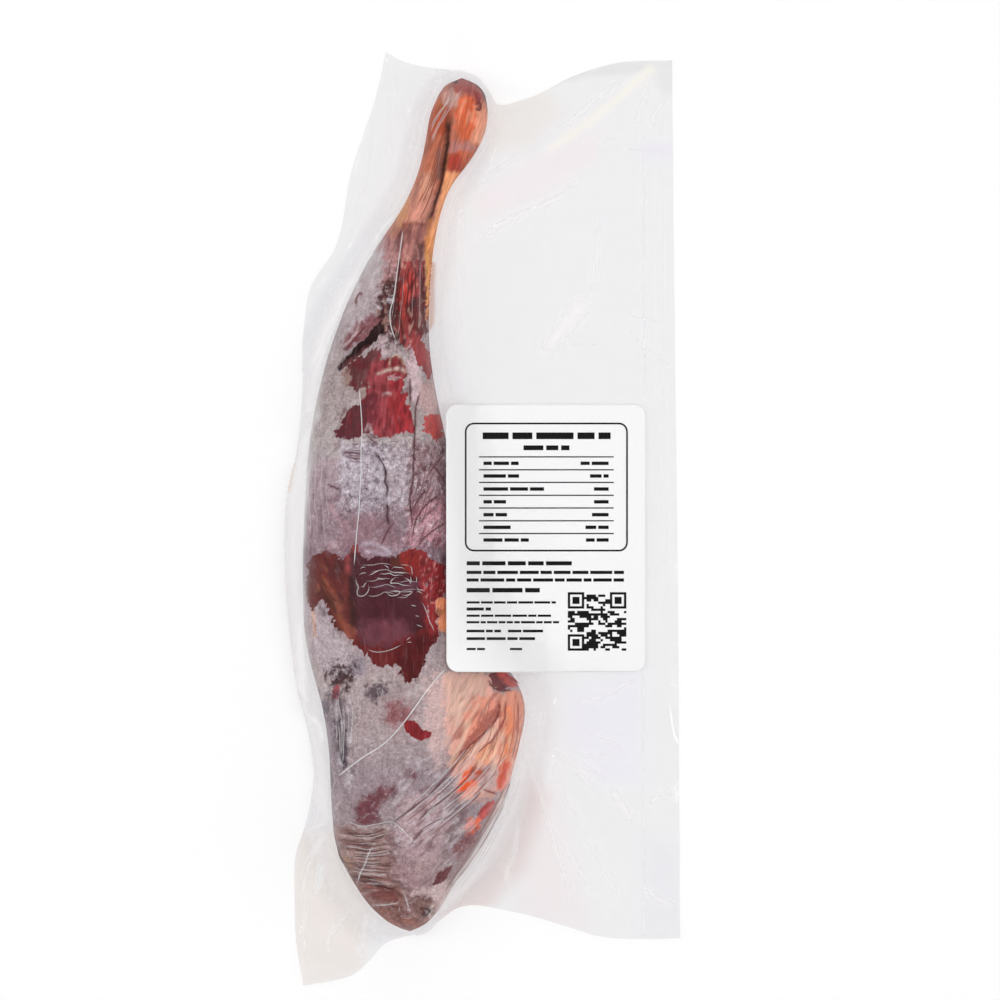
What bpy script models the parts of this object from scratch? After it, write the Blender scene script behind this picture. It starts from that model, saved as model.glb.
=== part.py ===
"""A whole frozen leg of mutton, vacuum packed in a clear pouch that carries a paper label.

The leg lies on its outer side on the pouch's back film, with the hock towards +Y and the hip
towards -Y. The pouch's wide flat margin is on the +X side. The origin is on the surface that
the pouch rests on, under the middle of the whole. Metres, +Z up.
"""

import math
from collections import namedtuple

import bmesh
import bpy
import numpy as np
from mathutils import Vector
from mathutils.bvhtree import BVHTree

# Leg: where it ends along Y, and over what length each end rounds off
HIP_END = -0.2594
HOCK_END = 0.2773
HIP_ROUND = 0.020
HOCK_ROUND = 0.011

# Leg from hip to hock: place along Y, left edge, right edge and height of the crown
LEG_STATIONS = (
    (-0.2594, -0.0590, -0.0320, 0.026),
    (-0.2484, -0.0665, -0.0275, 0.033),
    (-0.2327, -0.0772, -0.0198, 0.042),
    (-0.2087, -0.0898, -0.0028, 0.054),
    (-0.1772, -0.0939, 0.0129, 0.064),
    (-0.1426, -0.0954, 0.0230, 0.071),
    (-0.1130, -0.1002, 0.0268, 0.075),
    (-0.0941, -0.1058, 0.0173, 0.076),
    (-0.0733, -0.1099, -0.0028, 0.075),
    (-0.0386, -0.1115, -0.0123, 0.073),
    (0.0055, -0.1106, -0.0161, 0.069),
    (0.0496, -0.1074, -0.0224, 0.063),
    (0.0811, -0.1017, -0.0293, 0.057),
    (0.1094, -0.0939, -0.0331, 0.050),
    (0.1378, -0.0832, -0.0331, 0.042),
    (0.1693, -0.0670, -0.0306, 0.033),
    (0.1907, -0.0526, -0.0265, 0.028),
    (0.2109, -0.0424, -0.0186, 0.027),
    (0.2228, -0.0385, -0.0090, 0.030),
    (0.2400, -0.0350, 0.0010, 0.033),
    (0.2562, -0.0318, 0.0035, 0.031),
    (0.2663, -0.0272, 0.0020, 0.028),
    (0.2773, -0.0240, -0.0020, 0.022),
)
WAIST_SHARE = 0.38
CROWN_FULLNESS = 2.1
UNDERSIDE_FULLNESS = 3.2
CROWN_LEAN = -0.12

# Leg surface: lines on its upper side, in X and Y, that stand proud or sink in
TENDON_GROOVE = ((-0.0211, 0.2512), (-0.0255, 0.2228), (-0.0350, 0.1869), (-0.0375, 0.1661), (-0.0362, 0.123))
TENDON_STRAP = ((-0.0160, 0.2150), (-0.0290, 0.1900), (-0.0330, 0.1600), (-0.0325, 0.1240))
STIFLE_SEAM = ((-0.0595, 0.1252), (-0.0923, 0.0956))
THIGH_SEAM = ((-0.0430, 0.0450), (-0.0440, -0.0040), (-0.0420, -0.0300))
HIP_HOLLOW = ((0.0110, -0.1030),)
HIP_RIM = ((0.0175, -0.1080), (0.0180, -0.1390), (0.0080, -0.1740), (-0.0060, -0.2040))
FAT_VALLEY = ((0.0050, -0.1180), (-0.0079, -0.1394), (-0.0250, -0.1620))
FLANK_DIMPLE = ((-0.0891, -0.0985),)
RUMP_FOLD = ((-0.0820, -0.1960), (-0.0550, -0.2120), (-0.0280, -0.2190))
LEG_RELIEF = (
    (TENDON_GROOVE, 0.0024, -0.0055),
    (TENDON_STRAP, 0.0030, 0.0015),
    (STIFLE_SEAM, 0.0060, -0.0030),
    (THIGH_SEAM, 0.0070, -0.0020),
    (HIP_HOLLOW, 0.0065, -0.0060),
    (HIP_RIM, 0.0060, 0.0030),
    (FAT_VALLEY, 0.0065, -0.0030),
    (FLANK_DIMPLE, 0.0075, -0.0035),
    (RUMP_FOLD, 0.0060, -0.0020),
)
RELIEF_SIDE_FADE = 2.0
RELIEF_END_FADE = 0.010
LEG_RINGS = 58
LEG_AROUND = 38
EVEN_RINGS_SHARE = 0.5

# Pouch: its four sides between the corners, the left and right ones from hip to hock
POUCH_LEFT = (
    (-0.1125, -0.2933), (-0.1172, -0.2680), (-0.1184, -0.2402), (-0.1175, -0.2106), (-0.1118, -0.1930),
    (-0.1062, -0.1615), (-0.1093, -0.1363), (-0.1162, -0.1079), (-0.1213, -0.0701), (-0.1243, -0.0229),
    (-0.1229, 0.0149), (-0.1169, 0.0433), (-0.1137, 0.0748), (-0.1128, 0.1189), (-0.1080, 0.1466),
    (-0.0936, 0.1693), (-0.0828, 0.2184), (-0.0665, 0.2688), (-0.0608, 0.2933),
)
POUCH_RIGHT = ((0.1244, -0.2635), (0.1232, -0.0512), (0.1213, 0.1063), (0.1194, 0.2884))
POUCH_HOCK = (
    (-0.0608, 0.2933), (-0.0520, 0.2887), (-0.0217, 0.2826), (-0.0123, 0.2815), (-0.0030, 0.2776),
    (0.0040, 0.2690), (0.0085, 0.2618), (0.0268, 0.2644), (0.0576, 0.2789), (0.0847, 0.2871),
    (0.1194, 0.2884),
)
POUCH_HIP = (
    (-0.1125, -0.2933), (-0.0942, -0.2906), (-0.0810, -0.2868), (-0.0721, -0.2793), (-0.0600, -0.2668),
    (-0.0480, -0.2628), (-0.0360, -0.2608), (-0.0268, -0.2530), (-0.0173, -0.2459), (0.0205, -0.2478),
    (0.0526, -0.2566), (0.0740, -0.2629), (0.1024, -0.2645), (0.1244, -0.2635),
)
FILM = 0.0008
GAP = 0.0004
BED = FILM + 0.0003
SKIRT_REACH = 0.75
SKIRT_HEIGHT = 0.80
SKIRT_CURVE = 2.0
EDGE_SLOPE = 2.2
WAVE_START = 0.012
WAVE_BUILD = 0.045
WAVE_HEIGHT = 0.0016
WAVE_LENGTH_Y = 0.086
WAVE_LENGTH_X = 0.230
CORNER_LIFT = 0.0050
CORNER_REACH = 0.040

# Pouch grid: columns in its left margin, under the leg, down the right skirt and in its right margin
POUCH_COLUMNS = (5, 6, 4, 9)
POUCH_ROWS = 52
COLUMN_INSET = 0.0025
SKIRT_COLUMNS_WIDTH = 0.024
EVEN_ROWS_SHARE = 0.55

# Label: its box in plan, corner radius and thickness, and how closely it follows what it lies on
LABEL_LOW = Vector((-0.0233, -0.0966))
LABEL_HIGH = Vector((0.1043, 0.0723))
LABEL_CORNER = 0.0076
LABEL_THICK = 0.0005
LABEL_GAP = 0.0009
LABEL_CELLS = (14, 18)
CORNER_CELLS = 2
DRAPE_STEP = 0.004
DRAPE_REACH = 2

OUTLINE_SAMPLES = 260
ROW_SAMPLES = 161
CAST_HEIGHT = 1.0
SHARP_ANGLE = math.radians(60)

# Finishes: colour, roughness and alpha
MEAT = ((0.28, 0.075, 0.065), 0.45, 1.0)
CLEAR_FILM = ((0.88, 0.88, 0.90), 0.15, 0.35)
PAPER = ((0.95, 0.95, 0.95), 0.50, 1.0)


def smooth_curve(knots, values):
    """Return a function that runs smoothly through the values at the rising knots."""
    knots, values = np.asarray(knots, float), np.asarray(values, float)
    slopes = np.gradient(values, knots, axis=0)

    def at(place):
        place = np.clip(np.asarray(place, float), knots[0], knots[-1])
        first = np.clip(np.searchsorted(knots, place, side="right") - 1, 0, len(knots) - 2)
        span = knots[first + 1] - knots[first]
        share = (place - knots[first]) / span
        if values.ndim == 2:
            span, share = span[..., None], share[..., None]
        start, end = values[first], values[first + 1]
        leave, arrive = slopes[first] * span, slopes[first + 1] * span
        ease = share * share * (3 - 2 * share)
        swing_out = share * (1 - share) ** 2
        swing_in = share * share * (share - 1)
        return start + (end - start) * ease + leave * swing_out + arrive * swing_in

    return at


def side_curve(points):
    """Return a smooth curve through the points, by the share of its length from 0 to 1."""
    points = np.asarray(points, float)
    steps = np.linalg.norm(np.diff(points, axis=0), axis=1)
    lengths = np.concatenate(([0.0], np.cumsum(steps)))
    return smooth_curve(lengths / lengths[-1], points)


def nearest(x, y, samples):
    """Return each point's distance to the nearest of the samples, and which sample that is."""
    gaps = np.hypot(x[..., None] - samples[:, 0], y[..., None] - samples[:, 1])
    index = gaps.argmin(axis=-1)
    return np.take_along_axis(gaps, index[..., None], axis=-1)[..., 0], index


def path_distance(x, y, path):
    """Return the distance from the point (x, y) to a path of one or more points."""
    if len(path) == 1:
        return math.hypot(x - path[0][0], y - path[0][1])
    best = math.inf
    for (ax, ay), (bx, by) in zip(path, path[1:]):
        run_x, run_y = bx - ax, by - ay
        share = ((x - ax) * run_x + (y - ay) * run_y) / (run_x**2 + run_y**2)
        share = min(1.0, max(0.0, share))
        best = min(best, math.hypot(x - ax - share * run_x, y - ay - share * run_y))
    return best


LEG_CURVE = smooth_curve([row[0] for row in LEG_STATIONS], [row[1:] for row in LEG_STATIONS])
Section = namedtuple("Section", "left right waist rise drop")


def leg_section(y):
    """Return the leg's edges and waist height at y, and how far crown and underside lie from the waist."""
    left, right, crown = LEG_CURVE(y)
    to_hip = min(1.0, max(0.0, (y - HIP_END) / HIP_ROUND))
    to_hock = min(1.0, max(0.0, (HOCK_END - y) / HOCK_ROUND))
    rounding = math.sqrt((1 - (1 - to_hip) ** 2) * (1 - (1 - to_hock) ** 2))
    middle, half_width = (left + right) / 2, (right - left) / 2 * rounding
    waist = BED + WAIST_SHARE * (crown - BED)
    rise, drop = rounding * (crown - waist), rounding * (waist - BED)
    return Section(middle - half_width, middle + half_width, waist, rise, drop)


def signed_power(value, power):
    return math.copysign(abs(value) ** power, value)


def leg_relief(x, y):
    """Return how far the leg's upper side stands proud of its plain form at (x, y)."""
    return sum(
        height * math.exp(-((path_distance(x, y, path) / width) ** 2)) for path, width, height in LEG_RELIEF
    )


def shape_leg(bm):
    """Turn a unit sphere with its poles on Z into the leg, with its poles at hip and hock."""
    middle_y, half_length = (HIP_END + HOCK_END) / 2, (HOCK_END - HIP_END) / 2
    for vert in bm.verts:
        polar = math.acos(max(-1.0, min(1.0, vert.co.z)))
        even, crowded = 1 - 2 * polar / math.pi, math.cos(polar)
        y = middle_y + half_length * (EVEN_RINGS_SHARE * even + (1 - EVEN_RINGS_SHARE) * crowded)
        section = leg_section(y)
        middle, half_width = (section.left + section.right) / 2, (section.right - section.left) / 2
        ring = math.hypot(vert.co.x, vert.co.y) or 1.0
        side, up = vert.co.x / ring, -vert.co.y / ring
        if up >= 0:
            x = middle + half_width * (signed_power(side, 2 / CROWN_FULLNESS) + CROWN_LEAN * up)
            z = section.waist + section.rise * up ** (2 / CROWN_FULLNESS)
            fade = min(1.0, RELIEF_SIDE_FADE * up) * min(1.0, section.rise / RELIEF_END_FADE)
            z += leg_relief(x, y) * fade
        else:
            x = middle + half_width * signed_power(side, 2 / UNDERSIDE_FULLNESS)
            z = section.waist - section.drop * (-up) ** (2 / UNDERSIDE_FULLNESS)
        vert.co = (x, y, z)
    bmesh.ops.recalc_face_normals(bm, faces=bm.faces)


def leg_outline(count):
    """Return points all round the leg's edge as seen from above."""
    share = np.linspace(0, 1, count)
    ys = HIP_END + (HOCK_END - HIP_END) * (1 - np.cos(math.pi * share)) / 2
    sections = [leg_section(y) for y in ys]
    left = [(section.left, y) for section, y in zip(sections, ys)]
    right = [(section.right, y) for section, y in zip(sections, ys)]
    return np.array(left + right[::-1])


def pouch_plan(across, along):
    """Return where the film's points (across, along), each from 0 to 1, lie in X and Y."""
    left, right = side_curve(POUCH_LEFT)(along), side_curve(POUCH_RIGHT)(along)
    hip, hock = side_curve(POUCH_HIP)(across), side_curve(POUCH_HOCK)(across)
    u, v = across[:, None], along[:, None]
    hip_line = (1 - u) * np.array(POUCH_HIP[0]) + u * np.array(POUCH_HIP[-1])
    hock_line = (1 - u) * np.array(POUCH_HOCK[0]) + u * np.array(POUCH_HOCK[-1])
    return (1 - u) * left + u * right + (1 - v) * (hip - hip_line) + v * (hock - hock_line)


def pouch_outline(count):
    """Return points all round the pouch's edge."""
    share = np.linspace(0, 1, count)
    sides = (POUCH_LEFT, POUCH_RIGHT, POUCH_HIP, POUCH_HOCK)
    return np.concatenate([side_curve(side)(share) for side in sides])


def pouch_heights(x, y):
    """Return the heights of the pouch's underside and upper side at the points (x, y)."""
    outline = leg_outline(OUTLINE_SAMPLES)
    to_leg, index = nearest(x, y, outline)
    sections = [leg_section(value) for value in y]
    under_leg = np.array([section.left < value < section.right for value, section in zip(x, sections)])
    under_leg &= (y > HIP_END) & (y < HOCK_END)
    to_leg = np.where(under_leg, 0.0, to_leg)
    waist = np.array([leg_section(value).waist for value in outline[:, 1]])[index]

    reach = SKIRT_REACH * waist
    skirt = SKIRT_HEIGHT * waist * np.clip(1 - to_leg / reach, 0, 1) ** SKIRT_CURVE
    to_edge, _ = nearest(x, y, pouch_outline(OUTLINE_SAMPLES))
    skirt = np.where(under_leg, SKIRT_HEIGHT * waist, np.minimum(skirt, EDGE_SLOPE * to_edge))

    build = np.clip((to_leg - reach - WAVE_START) / WAVE_BUILD, 0, 1)
    build = build * build * (3 - 2 * build)
    turns = y / WAVE_LENGTH_Y + x / WAVE_LENGTH_X
    underside = WAVE_HEIGHT * build * (1 + np.sin(2 * math.pi * turns))
    for corner in (POUCH_HIP[0], POUCH_HIP[-1], POUCH_HOCK[0], POUCH_HOCK[-1]):
        far = np.hypot(x - corner[0], y - corner[1]) / CORNER_REACH
        lift = np.clip(1 - far, 0, 1) ** 2 * np.clip(to_leg / reach - 1, 0, 1)
        underside = underside + CORNER_LIFT * lift
    return underside, underside + FILM + skirt


def column_places(along):
    """Return, for each row of the pouch's grid, the across places that its groups of columns end at."""
    trial = np.linspace(0, 1, ROW_SAMPLES)
    across, rows = np.meshgrid(trial, along)
    plan = pouch_plan(across.ravel(), rows.ravel()).reshape(len(along), len(trial), 2)
    places = []
    for x, y in plan.transpose(0, 2, 1):
        beside_leg = np.clip(y, HIP_END + HIP_ROUND / 2, HOCK_END - HOCK_ROUND / 2)
        sections = [leg_section(value) for value in beside_leg]
        left = np.array([section.left for section in sections])
        right = np.array([section.right for section in sections])
        crossings = (x - left - COLUMN_INSET, x - right + COLUMN_INSET, x - right - SKIRT_COLUMNS_WIDTH)
        places.append([0.0, *(np.interp(0, crossing, trial) for crossing in crossings), 1.0])
    return np.array(places)


def pouch_grid_plan(column_share, row_share):
    """Return the plan places of grid points, so that columns run along the leg's two edges."""
    rows = np.linspace(0, 1, POUCH_ROWS + 1)
    crowded = EVEN_ROWS_SHARE * rows + (1 - EVEN_ROWS_SHARE) * (1 - np.cos(math.pi * rows)) / 2
    places = column_places(crowded)
    ends = np.cumsum((0, *POUCH_COLUMNS)) / sum(POUCH_COLUMNS)
    row = np.rint(row_share * POUCH_ROWS).astype(int)
    across = np.array([np.interp(share, ends, places[index]) for share, index in zip(column_share, row)])
    return pouch_plan(across, crowded[row])


def shape_pouch(bm):
    """Give the grid the pouch's plan as its underside, and extrude the upper side from it."""
    bm.verts.ensure_lookup_table()
    flat = np.array([vert.co[:2] for vert in bm.verts])
    plan = pouch_grid_plan(flat[:, 0] + 0.5, flat[:, 1] + 0.5)
    low, high = pouch_heights(plan[:, 0], plan[:, 1])
    upper_side = bm.verts.layers.float.new("upper side")
    for vert, (x, y), underside, top in zip(bm.verts, plan, low, high):
        vert.co = (x, y, underside)
        vert[upper_side] = top
    raised = bmesh.ops.extrude_face_region(bm, geom=list(bm.faces), use_keep_orig=True)["geom"]
    for vert in raised:
        if isinstance(vert, bmesh.types.BMVert):
            vert.co.z = vert[upper_side]
    bm.verts.layers.float.remove(upper_side)
    bmesh.ops.recalc_face_normals(bm, faces=bm.faces)


def label_line(share, half, cells):
    """Place a grid line so that its last cells at each end share the corner's radius."""
    step = abs(share) * cells
    inner = cells / 2 - CORNER_CELLS
    if step <= inner:
        place = step / inner * (half - LABEL_CORNER)
    else:
        place = half - LABEL_CORNER * (1 - (step - inner) / CORNER_CELLS)
    return math.copysign(place, share)


def round_corner(x, y, half):
    """Pull a point near one of the label's corners inside the corner's arc."""
    start = half - Vector((LABEL_CORNER, LABEL_CORNER))
    over_x, over_y = abs(x) - start.x, abs(y) - start.y
    if over_x <= 0 or over_y <= 0:
        return x, y
    share_x, share_y = over_x / LABEL_CORNER, over_y / LABEL_CORNER
    over_x *= math.sqrt(1 - share_y**2 / 2)
    over_y *= math.sqrt(1 - share_x**2 / 2)
    return math.copysign(start.x + over_x, x), math.copysign(start.y + over_y, y)


def drape_heights(carriers):
    """Return a grid of heights that lies on the carriers and bridges their hollows."""
    graph = bpy.context.evaluated_depsgraph_get()
    trees = [BVHTree.FromObject(carrier, graph) for carrier in carriers]
    margin = DRAPE_STEP * (2 * DRAPE_REACH + 1)
    xs = np.arange(LABEL_LOW.x - margin, LABEL_HIGH.x + margin, DRAPE_STEP)
    ys = np.arange(LABEL_LOW.y - margin, LABEL_HIGH.y + margin, DRAPE_STEP)
    heights = np.zeros((len(xs), len(ys)))
    for i, x in enumerate(xs):
        for j, y in enumerate(ys):
            for tree in trees:
                hit = tree.ray_cast(Vector((x, y, CAST_HEIGHT)), Vector((0, 0, -1)))[0]
                heights[i, j] = max(heights[i, j], hit.z if hit else 0.0)
    window = range(-DRAPE_REACH, DRAPE_REACH + 1)
    shifts = [(i, j) for i in window for j in window]
    lifted = np.max([np.roll(heights, shift, axis=(0, 1)) for shift in shifts], axis=0)
    return xs, ys, np.mean([np.roll(lifted, shift, axis=(0, 1)) for shift in shifts], axis=0)


def shape_label(bm, carriers):
    """Give the grid the label's rounded outline and drape it over its carriers."""
    half, middle = (LABEL_HIGH - LABEL_LOW) / 2, (LABEL_HIGH + LABEL_LOW) / 2
    xs, ys, heights = drape_heights(carriers)
    for vert in bm.verts:
        x = label_line(vert.co.x, half.x, LABEL_CELLS[0])
        y = label_line(vert.co.y, half.y, LABEL_CELLS[1])
        x, y = round_corner(x, y, half)
        x, y = x + middle.x, y + middle.y
        column = (x - xs[0]) / DRAPE_STEP
        row = (y - ys[0]) / DRAPE_STEP
        i, j = int(column), int(row)
        s, t = column - i, row - j
        low_side = heights[i, j] * (1 - s) + heights[i + 1, j] * s
        high_side = heights[i, j + 1] * (1 - s) + heights[i + 1, j + 1] * s
        vert.co = (x, y, LABEL_GAP + low_side * (1 - t) + high_side * t)


def new_material(name, finish):
    colour, roughness, alpha = finish
    material = bpy.data.materials.new(name)
    material.use_nodes = True
    shader = material.node_tree.nodes["Principled BSDF"]
    shader.inputs["Base Color"].default_value = (*colour, 1)
    shader.inputs["Roughness"].default_value = roughness
    shader.inputs["Metallic"].default_value = 0.0
    shader.inputs["Alpha"].default_value = alpha
    return material


def new_object(name, bm, collection, material=None):
    mesh = bpy.data.meshes.new(name)
    bm.to_mesh(mesh)
    bm.free()
    mesh.shade_smooth()
    mesh.set_sharp_from_angle(angle=SHARP_ANGLE)
    if material:
        mesh.materials.append(material)
    item = bpy.data.objects.new(name, mesh)
    collection.objects.link(item)
    return item


def leg_form():
    bm = bmesh.new()
    bmesh.ops.create_uvsphere(bm, u_segments=LEG_AROUND, v_segments=LEG_RINGS, radius=1)
    shape_leg(bm)
    return bm


def make_leg(collection):
    return new_object("leg", leg_form(), collection, new_material("meat", MEAT))


def make_bed_cutter(collection):
    """The leg's own form, larger all round by the gap that the pouch keeps to it."""
    bm = leg_form()
    bm.normal_update()
    moves = [(vert, vert.normal * GAP) for vert in bm.verts]
    for vert, move in moves:
        vert.co += move
    cutter = new_object("leg bed cutter", bm, collection)
    cutter.hide_render = True
    cutter.display_type = "WIRE"
    return cutter


def make_pouch(collection, cutter):
    bm = bmesh.new()
    bmesh.ops.create_grid(bm, x_segments=sum(POUCH_COLUMNS), y_segments=POUCH_ROWS, size=0.5)
    shape_pouch(bm)
    pouch = new_object("pouch", bm, collection, new_material("clear film", CLEAR_FILM))
    bed = pouch.modifiers.new("leg bed", "BOOLEAN")
    bed.operation = "DIFFERENCE"
    bed.object = cutter
    return pouch


def make_label(collection, carriers):
    bm = bmesh.new()
    bmesh.ops.create_grid(bm, x_segments=LABEL_CELLS[0], y_segments=LABEL_CELLS[1], size=0.5)
    shape_label(bm, carriers)
    label = new_object("label", bm, collection, new_material("label paper", PAPER))
    body = label.modifiers.new("paper", "SOLIDIFY")
    body.thickness = LABEL_THICK
    body.offset = 1
    return label


def new_collection(name):
    collection = bpy.data.collections.new(name)
    bpy.context.scene.collection.children.link(collection)
    return collection


def main():
    for item in list(bpy.data.objects):
        bpy.data.objects.remove(item)
    parts, cutters = new_collection("mutton_leg"), new_collection("cutters")
    leg = make_leg(parts)
    pouch = make_pouch(parts, make_bed_cutter(cutters))
    make_label(parts, (leg, pouch))


main()
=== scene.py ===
# %% [markdown]
# A frozen leg of mutton lies in a clear vacuum pouch with a paper label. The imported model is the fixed
# frame: three plain solids, `leg`, `pouch` and `label`. Each of them gets a detailed piece here that
# keeps its form: the meat with its frost, two webs of clear film, and a printed label.

# %% Load the frame
import math
import random

import bmesh
import bpy
import numpy as np
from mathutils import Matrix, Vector, noise
from mathutils.bvhtree import BVHTree
from mathutils.kdtree import KDTree


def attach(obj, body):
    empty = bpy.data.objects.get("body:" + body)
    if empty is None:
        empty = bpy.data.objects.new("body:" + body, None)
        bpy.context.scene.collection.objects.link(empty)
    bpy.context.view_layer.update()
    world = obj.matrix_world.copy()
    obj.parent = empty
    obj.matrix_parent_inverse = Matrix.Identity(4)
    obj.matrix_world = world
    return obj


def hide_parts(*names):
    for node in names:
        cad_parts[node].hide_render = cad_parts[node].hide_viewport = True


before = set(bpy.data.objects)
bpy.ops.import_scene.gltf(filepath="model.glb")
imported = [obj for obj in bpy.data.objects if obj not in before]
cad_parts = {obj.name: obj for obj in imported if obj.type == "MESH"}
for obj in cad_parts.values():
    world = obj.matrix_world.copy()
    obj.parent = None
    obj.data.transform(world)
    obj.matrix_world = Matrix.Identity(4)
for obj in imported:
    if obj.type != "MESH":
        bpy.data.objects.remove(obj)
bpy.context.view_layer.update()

# %% [markdown]
# The camera looks straight down, so one number ties the picture to the table: a pixel is 0.63 mm there.
# Places on the pack are written as they are seen, in pixels of a 1000 by 1000 picture. A place that lies
# higher up looks further from the middle, so the helper moves it back in by the height it lies at.

# %% Camera and the way from seen places to metres
PIXEL = 0.00063
LOOK_AT = Vector((0.0110, 0.0118))
CAMERA_HEIGHT = 3.0
SENSOR = 36.0


def to_table(px, py, height=0.0):
    """Give the X and Y of what is seen at a pixel and lies at a height, all in metres."""
    nearer = (CAMERA_HEIGHT - height) / CAMERA_HEIGHT
    return LOOK_AT.x + (px - 500) * PIXEL * nearer, LOOK_AT.y + (500 - py) * PIXEL * nearer


def to_seen(x, y, height):
    """Give the pixel at which a point is seen."""
    further = CAMERA_HEIGHT / (CAMERA_HEIGHT - height) / PIXEL
    return 500 + (x - LOOK_AT.x) * further, 500 - (y - LOOK_AT.y) * further


camera_data = bpy.data.cameras.new("camera")
camera_data.sensor_width = SENSOR
camera_data.lens = SENSOR * CAMERA_HEIGHT / (1000 * PIXEL)
camera = bpy.data.objects.new("camera", camera_data)
camera.location = (LOOK_AT.x, LOOK_AT.y, CAMERA_HEIGHT)
bpy.context.scene.collection.objects.link(camera)
bpy.context.scene.camera = camera
print("lens", round(camera_data.lens, 1), "mm")

# %% [markdown]
# A few helpers serve every piece. Colours are written as the eye reads them on a screen, and Blender
# mixes light in linear numbers, so two functions turn the one into the other. The others add a shader
# node with its settings and links, reckon with the values of nodes, begin and end a material, and turn
# a finished bmesh into an object.

# %% Helpers for colours, nodes and objects
def colour(code):
    """Turn an sRGB hex colour into linear red, green, blue and full alpha."""
    parts = [int(code[place:place + 2], 16) / 255 for place in (1, 3, 5)]
    return (*[part / 12.92 if part <= 0.04045 else ((part + 0.055) / 1.055) ** 2.4 for part in parts], 1.0)


def light(code):
    """Turn an sRGB hex colour into an array of linear red, green and blue."""
    return np.array(colour(code)[:3])


def add_node(material, kind, settings=(), sockets=(), links=()):
    """Add a node, set its settings and sockets, and link outputs into its inputs."""
    node = material.node_tree.nodes.new(kind)
    for name, value in dict(settings).items():
        setattr(node, name, value)
    for name, value in dict(sockets).items():
        node.inputs[name].default_value = value
    for name, output in dict(links).items():
        material.node_tree.links.new(output, node.inputs[name])
    return node


def make_object(name, bm, material):
    """Turn a bmesh into an object of the scene, and free the bmesh."""
    mesh = bpy.data.meshes.new(name)
    bm.to_mesh(mesh)
    bm.free()
    mesh.shade_smooth()
    mesh.materials.append(material)
    item = bpy.data.objects.new(name, mesh)
    bpy.context.scene.collection.objects.link(item)
    return item


def reckon(material, operation, *inputs, clamp=False):
    """Work out a number from plain numbers and from the outputs of other nodes."""
    linked = {place: value for place, value in enumerate(inputs) if isinstance(value, bpy.types.NodeSocket)}
    plain = {place: value for place, value in enumerate(inputs) if place not in linked}
    return add_node(material, "ShaderNodeMath", {"operation": operation, "use_clamp": clamp},
                    plain, linked).outputs["Value"]


def new_material(name):
    """Return a material that has no nodes yet."""
    material = bpy.data.materials.new(name)
    material.use_nodes = True
    material.node_tree.nodes.clear()
    return material


def surface(material, shader):
    """Make a shader the material's surface."""
    add_node(material, "ShaderNodeOutputMaterial", links={"Surface": shader.outputs[0]})


# %% [markdown]
# The pack lies on a sheet of white acrylic that is lit from above and, as much again, from below: so the
# table reads as plain white, and the tall leg throws hardly any shadow beside it. Clear film shows mostly
# by what it mirrors, so two kinds of light are kept apart. Large soft boxes light the meat and the
# table, and are hidden from mirror rays. Narrow strips and small sparks give little light, but are the
# only things that the film mirrors: each fold that leans towards one of them gets a thin white edge.

# %% Table, light and view
FLOOR_SIZE = 3.0
FLOOR_DROP = 0.0003
FLOOR_GLOW = 0.52
floor_material = new_material("back-lit white acrylic")
floor_grain = add_node(floor_material, "ShaderNodeTexNoise", sockets={"Scale": 900.0})
floor_tint = add_node(floor_material, "ShaderNodeMapRange", sockets={"To Min": 0.50, "To Max": 0.52},
                      links={"Value": floor_grain.outputs["Fac"]})
floor_shader = add_node(floor_material, "ShaderNodeBsdfDiffuse",
                        links={"Color": floor_tint.outputs["Result"]})
floor_glow = add_node(floor_material, "ShaderNodeEmission", sockets={"Strength": FLOOR_GLOW})
floor_both = add_node(floor_material, "ShaderNodeAddShader",
                      links={0: floor_shader.outputs["BSDF"], 1: floor_glow.outputs["Emission"]})
surface(floor_material, floor_both)
bm = bmesh.new()
bmesh.ops.create_grid(bm, x_segments=2, y_segments=2, size=FLOOR_SIZE)
bmesh.ops.translate(bm, vec=(0, 0, -FLOOR_DROP), verts=bm.verts)
floor = make_object("table_top", bm, floor_material)

LIGHTS = (
    # name, place, size in metres, power in watts, whether film and meat mirror it
    ("top box", (0.0, 0.0, 2.2), (1.6, 1.6), 19.5, False),
    ("left box", (-1.55, 0.05, 0.85), (0.9, 2.0), 7.5, False),
    ("right box", (1.6, 0.0, 0.9), (0.9, 2.0), 6.5, False),
    ("head box", (0.05, 1.7, 0.95), (1.6, 0.8), 5.0, False),
    ("foot box", (0.0, -1.7, 0.95), (1.6, 0.8), 4.5, False),
    ("left strip", (-1.05, 0.1, 1.1), (0.02, 1.6), 1.2, True),
    ("right strip", (1.2, -0.1, 1.0), (0.02, 1.6), 1.2, True),
    ("head strip", (0.1, 1.1, 1.25), (1.2, 0.02), 0.8, True),
    ("left spark", (-0.55, 0.45, 1.35), (0.06, 0.06), 0.5, True),
    ("right spark", (0.62, -0.4, 1.35), (0.06, 0.06), 0.5, True),
)
for name, place, (width, length), power, mirrored in LIGHTS:
    lamp = bpy.data.lights.new(name, "AREA")
    lamp.shape, lamp.size, lamp.size_y, lamp.energy = "RECTANGLE", width, length, power
    lamp_object = bpy.data.objects.new(name, lamp)
    lamp_object.location = place
    lamp_object.rotation_euler = (-Vector(place)).to_track_quat("-Z", "Y").to_euler()
    lamp_object.visible_camera = False
    lamp_object.visible_glossy = mirrored
    bpy.context.scene.collection.objects.link(lamp_object)

SKY = 0.22
world = bpy.data.worlds.new("studio")
world.use_nodes = True
world.node_tree.nodes["Background"].inputs["Color"].default_value = (1, 1, 1, 1)
world.node_tree.nodes["Background"].inputs["Strength"].default_value = SKY
bpy.context.scene.world = world
bpy.context.scene.view_settings.view_transform = "Standard"
print(len(LIGHTS), "lights,", round(sum(row[3] for row in LIGHTS)), "W")

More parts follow.
